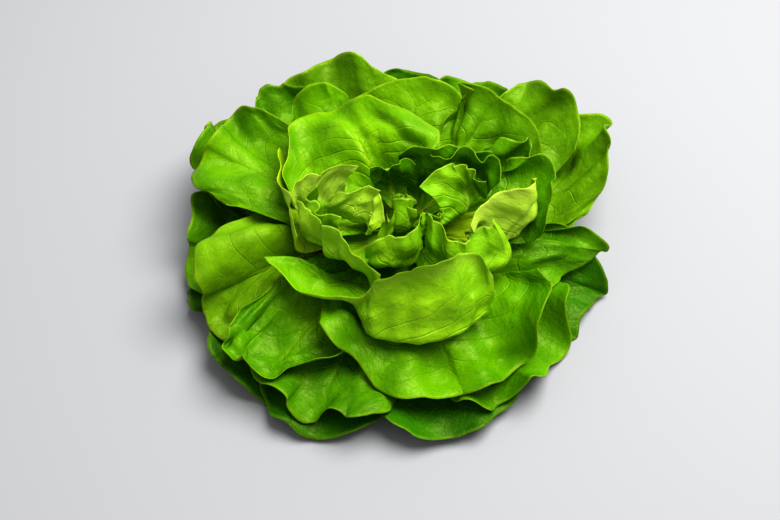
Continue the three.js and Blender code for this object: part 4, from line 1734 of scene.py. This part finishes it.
    def net(self, shader: Shader, tissue: bpy.types.NodeSocket) -> Value:
        """The fine net between the side veins.

        Args:
            shader: The material's shader.
            tissue: Where on the flattened blade, in millimetres.

        Returns:
            1 on a thread and 0 off it.
        """
        bend = shader.node("ShaderNodeTexNoise", {},
                           {"Vector": tissue, "Scale": self.NET_BEND_SCALE, "Detail": 2.0})
        bent = shader.node("ShaderNodeVectorMath", {"operation": "MULTIPLY_ADD"},
                           {0: bend.outputs["Color"], 1: self.NET_BEND, 2: tissue})
        cells = shader.node("ShaderNodeTexVoronoi",
                            {"feature": "DISTANCE_TO_EDGE", "voronoi_dimensions": "2D"},
                            {"Vector": bent.outputs["Vector"], "Scale": self.NET_SCALE})
        return shader.step(Value(shader, cells.outputs["Distance"]), 0.07, 0.0)


class Finishes(Enum):
    """The finishes of each generation: its face and its back."""

    LOW = (
        LeafFinish(
            "low_leaf_face", deep=paint(28, 76, 0), bright=paint(55, 112, 0),
            pale=paint(119, 144, 30), vein=paint(95, 138, 16), pale_reach=0.08, vein_strength=0.36,
            roughness=0.44, specular=0.26, relief=0.8,
        ),
        LeafFinish(
            "low_leaf_back", deep=paint(53, 96, 10), bright=paint(82, 127, 18),
            pale=paint(133, 157, 64), vein=paint(116, 147, 48), pale_reach=0.20, vein_strength=0.50,
            roughness=0.52, specular=0.2, relief=0.8,
        ),
    )
    OUTER = (
        LeafFinish(
            "outer_leaf_face", deep=paint(44, 94, 0), bright=paint(91, 142, 0),
            pale=paint(136, 156, 30), vein=paint(121, 154, 20), pale_reach=0.08, vein_strength=0.34,
            roughness=0.42, specular=0.26, relief=0.8,
        ),
        LeafFinish(
            "outer_leaf_back", deep=paint(68, 112, 10), bright=paint(103, 147, 18),
            pale=paint(143, 165, 64), vein=paint(130, 159, 48), pale_reach=0.20, vein_strength=0.50,
            roughness=0.50, specular=0.2, relief=0.8,
        ),
    )
    MIDDLE = (
        LeafFinish(
            "middle_leaf_face", deep=paint(55, 108, 0), bright=paint(102, 152, 0),
            pale=paint(144, 162, 32), vein=paint(131, 162, 24), pale_reach=0.08, vein_strength=0.32,
            roughness=0.40, specular=0.26, relief=0.8,
        ),
        LeafFinish(
            "middle_leaf_back", deep=paint(84, 127, 10), bright=paint(116, 157, 20),
            pale=paint(150, 171, 68), vein=paint(140, 167, 54), pale_reach=0.20, vein_strength=0.50,
            roughness=0.48, specular=0.22, relief=0.8,
        ),
    )
    WRAP = (
        LeafFinish(
            "wrap_leaf_face", deep=paint(68, 122, 0), bright=paint(114, 164, 2),
            pale=paint(157, 172, 36), vein=paint(146, 172, 30), pale_reach=0.08, vein_strength=0.32,
            roughness=0.38, specular=0.26, relief=0.8,
        ),
        # Its wide pale rim is partly painted light, the bright band that a rolled rim shows
        LeafFinish(
            "wrap_leaf_back", deep=paint(103, 149, 10), bright=paint(141, 184, 26),
            pale=paint(162, 182, 74), vein=paint(158, 182, 58), pale_reach=0.26, vein_strength=0.46,
            roughness=0.40, specular=0.34, relief=0.9, edge=0.05,
        ),
    )
    INNER = (
        LeafFinish(
            "inner_leaf_face", deep=paint(70, 124, 0), bright=paint(116, 166, 4),
            pale=paint(165, 178, 54), vein=paint(157, 178, 42), pale_reach=0.08, vein_strength=0.32,
            roughness=0.38, specular=0.26, relief=0.8,
        ),
        LeafFinish(
            "inner_leaf_back", deep=paint(104, 153, 12), bright=paint(147, 188, 34),
            pale=paint(167, 186, 82), vein=paint(164, 188, 66), pale_reach=0.28, vein_strength=0.42,
            roughness=0.42, specular=0.26, relief=0.9,
        ),
    )
    HEART = (
        LeafFinish(
            "heart_face", deep=paint(87, 128, 8), bright=paint(123, 152, 20),
            pale=paint(167, 172, 64), vein=paint(161, 172, 56), pale_reach=0.40, vein_strength=0.30,
            roughness=0.42, specular=0.2, relief=0.6,
        ),
        LeafFinish(
            "heart_back", deep=paint(86, 129, 14), bright=paint(118, 155, 30),
            pale=paint(155, 171, 72), vein=paint(148, 171, 64), pale_reach=0.40, vein_strength=0.30,
            roughness=0.44, specular=0.2, relief=0.6,
        ),
    )


@dataclass(frozen=True)
class StemFinish:
    """The pale stem, browned where it was cut and green towards its tip."""

    STREAK_SCALE = 180.0
    CUT_EDGE_SCALE = 300.0
    GREENING = (0.02, 0.045)
    BROWNING = (0.0022, 0.0008)
    BUMP_DEPTH = 0.0008

    name: str = "stem_flesh"
    flesh: Colour = field(default_factory=lambda: paint(226, 232, 188))
    streak: Colour = field(default_factory=lambda: paint(190, 210, 128))
    browned: Colour = field(default_factory=lambda: paint(168, 122, 74))
    shoot: Colour = field(default_factory=lambda: paint(104, 136, 24))

    def make(self) -> bpy.types.Material:
        """Make the material.

        Returns:
            The material.
        """
        shader = Shader(self.name)
        where = shader.node("ShaderNodeTexCoord", {}, {}).outputs["Object"]
        height = Value(shader, shader.node("ShaderNodeSeparateXYZ", {}, {0: where}).outputs[2])
        streaks = shader.noise(where, self.STREAK_SCALE, 4.0)
        colour = shader.blend(self.flesh, self.streak, shader.step(streaks, 0.42, 0.7) * 0.7)
        colour = shader.blend(colour, self.shoot, shader.step(height, *self.GREENING))
        uneven = shader.noise(where, self.CUT_EDGE_SCALE, 3.0) * 0.0016
        cut = shader.step(height + uneven, *self.BROWNING)
        colour = shader.blend(colour, self.browned, cut * 0.8)
        shader.feed(shader.surface.inputs["Base Color"], colour)
        shader.feed(shader.surface.inputs["Roughness"], streaks * 0.2 + 0.45)
        shader.feed(shader.surface.inputs["Specular IOR Level"], 0.3)
        shader.roughen(streaks, 0.6, self.BUMP_DEPTH)
        return shader.material


@dataclass
class Stem:
    """The cut butt and the short stem that every leaf grows from.

    Lengths are millimetres. Nearer the axis than even_reach, or lower than even_height, it stays round.
    """

    shape: StemShape = field(default_factory=StemShape)
    finish: StemFinish = field(default_factory=StemFinish)
    sides: int = 72
    rings: int = 24
    unevenness: float = 0.35
    even_reach: float = 4.0
    even_height: float = 0.4
    weld: float = 0.02

    def profile(self) -> list[tuple[float, float]]:
        """Lay out the outline from the middle of the cut face to the tip.

        Returns:
            Pairs of radius and height, in millimetres.
        """
        shape = self.shape
        face = [(0.0, 0.25), (shape.foot * 0.35, 0.2), (shape.foot * 0.7, 0.05), (shape.foot - 0.9, 0.0),
                (shape.foot - 0.35, 0.3)]
        heights = np.linspace(1.2, shape.neck_height, self.rings)
        wall = [(float(shape.radius(np.array(z))) - self.unevenness, float(z)) for z in heights]
        tip = [(shape.neck * 0.8, mix(shape.neck_height, shape.top, 0.45)),
               (shape.neck * 0.45, shape.top - 1.6), (shape.neck * 0.2, shape.top - 0.7),
               (0.0, shape.top - 0.4)]
        return face + wall + tip

    def build(self) -> bpy.types.Object:
        """Spin the outline, make it slightly uneven, and dress it.

        Returns:
            The stem's object.
        """
        bm = bmesh.new()
        points = [bm.verts.new((radius * MM, 0.0, z * MM)) for radius, z in self.profile()]
        edges = [bm.edges.new(pair) for pair in zip(points, points[1:])]
        bmesh.ops.spin(bm, geom=points + edges, cent=(0, 0, 0), axis=(0, 0, 1), dvec=(0, 0, 0),
                       angle=2.0 * math.pi, steps=self.sides, use_merge=True)
        bmesh.ops.remove_doubles(bm, verts=bm.verts, dist=self.weld * MM)
        for vertex in bm.verts:
            x, y, z = vertex.co
            reach = math.hypot(x, y)
            turn = math.atan2(y, x)
            wave = math.sin(3.0 * turn + 90.0 * z) + 0.6 * math.sin(7.0 * turn - 210.0 * z)
            if reach > self.even_reach * MM and z > self.even_height * MM:
                scale = 1.0 + self.unevenness * MM * 0.5 * wave / reach
                vertex.co.x *= scale
                vertex.co.y *= scale
        bmesh.ops.recalc_face_normals(bm, faces=bm.faces)
        mesh = bpy.data.meshes.new("stem_flesh")
        bm.to_mesh(mesh)
        bm.free()
        mesh.shade_smooth()
        mesh.materials.append(self.finish.make())
        stem = bpy.data.objects.new("stem_flesh", mesh)
        bpy.context.scene.collection.objects.link(stem)
        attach(stem, "root")
        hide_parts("stem")
        log.info("stem: %d vertices", len(mesh.vertices))
        return stem


@dataclass
class Head:
    """All the leaves, from the lowest to the heart. Low and high are the corners of the solids' box."""

    HEART_TURN = 137.5
    HEART_SHRINK = 0.08
    HEART_RIM = (-70, -35, 0, 35, 70)
    LEAF_SEED = 11
    HEART_SEED = 900

    low: Vector
    high: Vector
    solids: SolidHead = field(default_factory=SolidHead)
    drawn: DrawnHead = field(default_factory=DrawnHead)
    materials: dict[Age, tuple[bpy.types.Material, bpy.types.Material]] = field(default_factory=dict)

    def dress(self, age: Age) -> tuple[bpy.types.Material, bpy.types.Material]:
        """Make a generation's materials, or take those made before.

        Args:
            age: The generation.

        Returns:
            The materials of its face and its back.
        """
        if age not in self.materials:
            face, back = Finishes[age.name].value
            self.materials[age] = (face.make(), back.make())
        return self.materials[age]

    def leaf(self, plan: LeafPlan, seed: int) -> bpy.types.Object:
        """Build one leaf and put it in its solid's place.

        Args:
            plan: The leaf's plan.
            seed: The leaf's own seed.

        Returns:
            The leaf's object.
        """
        moved = self.solids.settle(plan)
        drawn = BladeMaker(plan, seed).draw(moved)
        farthest = self.drawn.settle(drawn)
        piece = BladePiece(plan.name + "_blade", [drawn], self.low, self.high).build(*self.dress(plan.age))
        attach(piece, "root")
        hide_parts(plan.name)
        log.info("%s: lifted at most %.1f mm", plan.name, farthest)
        return piece

    def heart(self) -> list[bpy.types.Object]:
        """Build the closed heart.

        Returns:
            Its smallest leaves, as one object, and the core that they fold round.
        """
        along, across = Size.SMALL.value[:2]
        still = np.zeros((across + 1, along + 1))
        blades = []
        for k in range(HEART.leaves):
            azimuth = self.HEART_TURN * k
            grow = 1.0 - self.HEART_SHRINK * k
            rim = tuple(
                (azimuth + turn, 0.3 * HEART.reach * grow,
                 HEART.foot + HEART.height * grow * math.cos(math.radians(turn * 0.5)), HEART.lean)
                for turn in self.HEART_RIM)
            plan = LeafPlan("heart_leaf", base=(azimuth, HEART.foot + 1.0, 60.0), rise=10.0, swell=0.95,
                            curl=0.5, size=Size.SMALL, rim=rim, foot=HEART.core_radius - 2.0)
            drawn = BladeMaker(plan, self.HEART_SEED + k).draw((still, still))
            drawn.half = drawn.half * 0.5
            blades.append(drawn)
        leaves = BladePiece("heart_leaves", blades, self.low, self.high).build(*self.dress(Age.HEART))
        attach(leaves, "root")
        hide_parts("heart")
        core = self.core()
        log.info("heart: %d leaves and a core", HEART.leaves)
        return [leaves, core]

    def core(self) -> bpy.types.Object:
        """Build the heart's core, a small closed bud.

        Returns:
            The core's object.
        """
        bm = bmesh.new()
        bmesh.ops.create_icosphere(bm, subdivisions=4, radius=HEART.core_radius * MM * 0.96)
        for vertex in bm.verts:
            x, y, z = vertex.co
            turn = math.atan2(y, x)
            scale = 0.94 + 0.05 * math.sin(5.0 * turn + 900.0 * z)
            vertex.co = (x * scale, y * scale, z)
        middle = Vector((0.0, 0.0, (HEART.foot + HEART.core_half) * MM))
        bmesh.ops.translate(bm, verts=bm.verts, vec=middle)
        mesh = bpy.data.meshes.new("heart_core")
        bm.to_mesh(mesh)
        bm.free()
        mesh.shade_smooth()
        mesh.materials.append(StemFinish("heart_core", paint(112, 140, 30), paint(96, 128, 24),
                                         paint(112, 140, 30)).make())
        core = bpy.data.objects.new("heart_core", mesh)
        bpy.context.scene.collection.objects.link(core)
        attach(core, "root")
        return core

    def build(self) -> None:
        """Build every leaf in order, then the heart."""
        for number, plan in enumerate(LEAVES):
            self.leaf(plan, self.LEAF_SEED + number)
        self.heart()


@dataclass
class Studio:
    """The plain floor, the soft lights and the camera.

    Lengths are metres, save the sensor's in millimetres. Elevation is degrees and key_power watts.
    Aim is how far right of the origin, and up from it in the picture, the camera looks. Focal_share
    is its focal length as a share of the picture's width.
    """

    elevation: float = 52.0
    distance: float = 0.8
    aim: tuple[float, float] = (-0.008, 0.0033)
    focal_share: float = 1200.0 / 780.0
    sensor_width: float = 36.0
    floor_half: float = 3.0
    floor_colour: Colour = (0.31, 0.31, 0.315)
    sky_colour: Colour = (0.97, 0.98, 1.0)
    sky_strength: float = 0.50
    key_power: float = 34.0
    key_size: float = 1.2
    key_place: tuple[float, float, float] = (0.48, 0.24, 1.32)
    key_aim: tuple[float, float, float] = (0.0, 0.0, 0.05)

    def floor(self) -> bpy.types.Object:
        """Lay a wide grey floor.

        Returns:
            The floor's object.
        """
        bm = bmesh.new()
        bmesh.ops.create_grid(bm, x_segments=1, y_segments=1, size=self.floor_half)
        mesh = bpy.data.meshes.new("floor")
        bm.to_mesh(mesh)
        bm.free()
        shader = Shader("floor")
        shader.feed(shader.surface.inputs["Base Color"], self.floor_colour)
        shader.feed(shader.surface.inputs["Roughness"], 0.9)
        shader.feed(shader.surface.inputs["Specular IOR Level"], 0.1)
        mesh.materials.append(shader.material)
        floor = bpy.data.objects.new("floor", mesh)
        bpy.context.scene.collection.objects.link(floor)
        floor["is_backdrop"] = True
        return floor

    def lights(self) -> None:
        """Set up a white sky and one large soft light above, a little to the right and behind."""
        world = bpy.data.worlds.new("studio")
        bpy.context.scene.world = world
        world.use_nodes = True
        sky = world.node_tree.nodes["Background"]
        sky.inputs["Color"].default_value = (*self.sky_colour, 1.0)
        sky.inputs["Strength"].default_value = self.sky_strength
        key = bpy.data.lights.new("key", "AREA")
        key.shape = "DISK"
        key.size = self.key_size
        key.energy = self.key_power
        lamp = bpy.data.objects.new("key", key)
        lamp.location = self.key_place
        toward = Vector(self.key_aim) - lamp.location
        lamp.rotation_euler = toward.to_track_quat("-Z", "Y").to_euler()
        bpy.context.scene.collection.objects.link(lamp)

    def camera(self) -> bpy.types.Object:
        """Place the camera at the photograph's angle.

        Returns:
            The camera's object.
        """
        tilt = math.radians(self.elevation)
        forward = Vector((0.0, math.cos(tilt), -math.sin(tilt)))
        up = Vector((0.0, math.sin(tilt), math.cos(tilt)))
        right = Vector((1.0, 0.0, 0.0))
        data = bpy.data.cameras.new("camera")
        data.sensor_width = self.sensor_width
        data.lens = self.sensor_width * self.focal_share
        camera = bpy.data.objects.new("camera", data)
        camera.location = right * self.aim[0] + up * self.aim[1] - forward * self.distance
        camera.rotation_euler = forward.to_track_quat("-Z", "Y").to_euler()
        bpy.context.scene.collection.objects.link(camera)
        bpy.context.scene.camera = camera
        return camera

    def build(self) -> None:
        """Set up the whole studio."""
        self.floor()
        self.lights()
        self.camera()
        bpy.context.scene.view_settings.view_transform = "Standard"
        bpy.context.scene.view_settings.look = "High Contrast"


def main() -> None:
    """Load the solids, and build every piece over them."""
    logging.basicConfig(level=logging.INFO, format="%(name)s %(message)s")
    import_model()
    low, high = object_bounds()
    Studio().build()
    Stem().build()
    Head(low, high).build()
    bpy.context.view_layer.update()


if __name__ == "__main__":
    main()
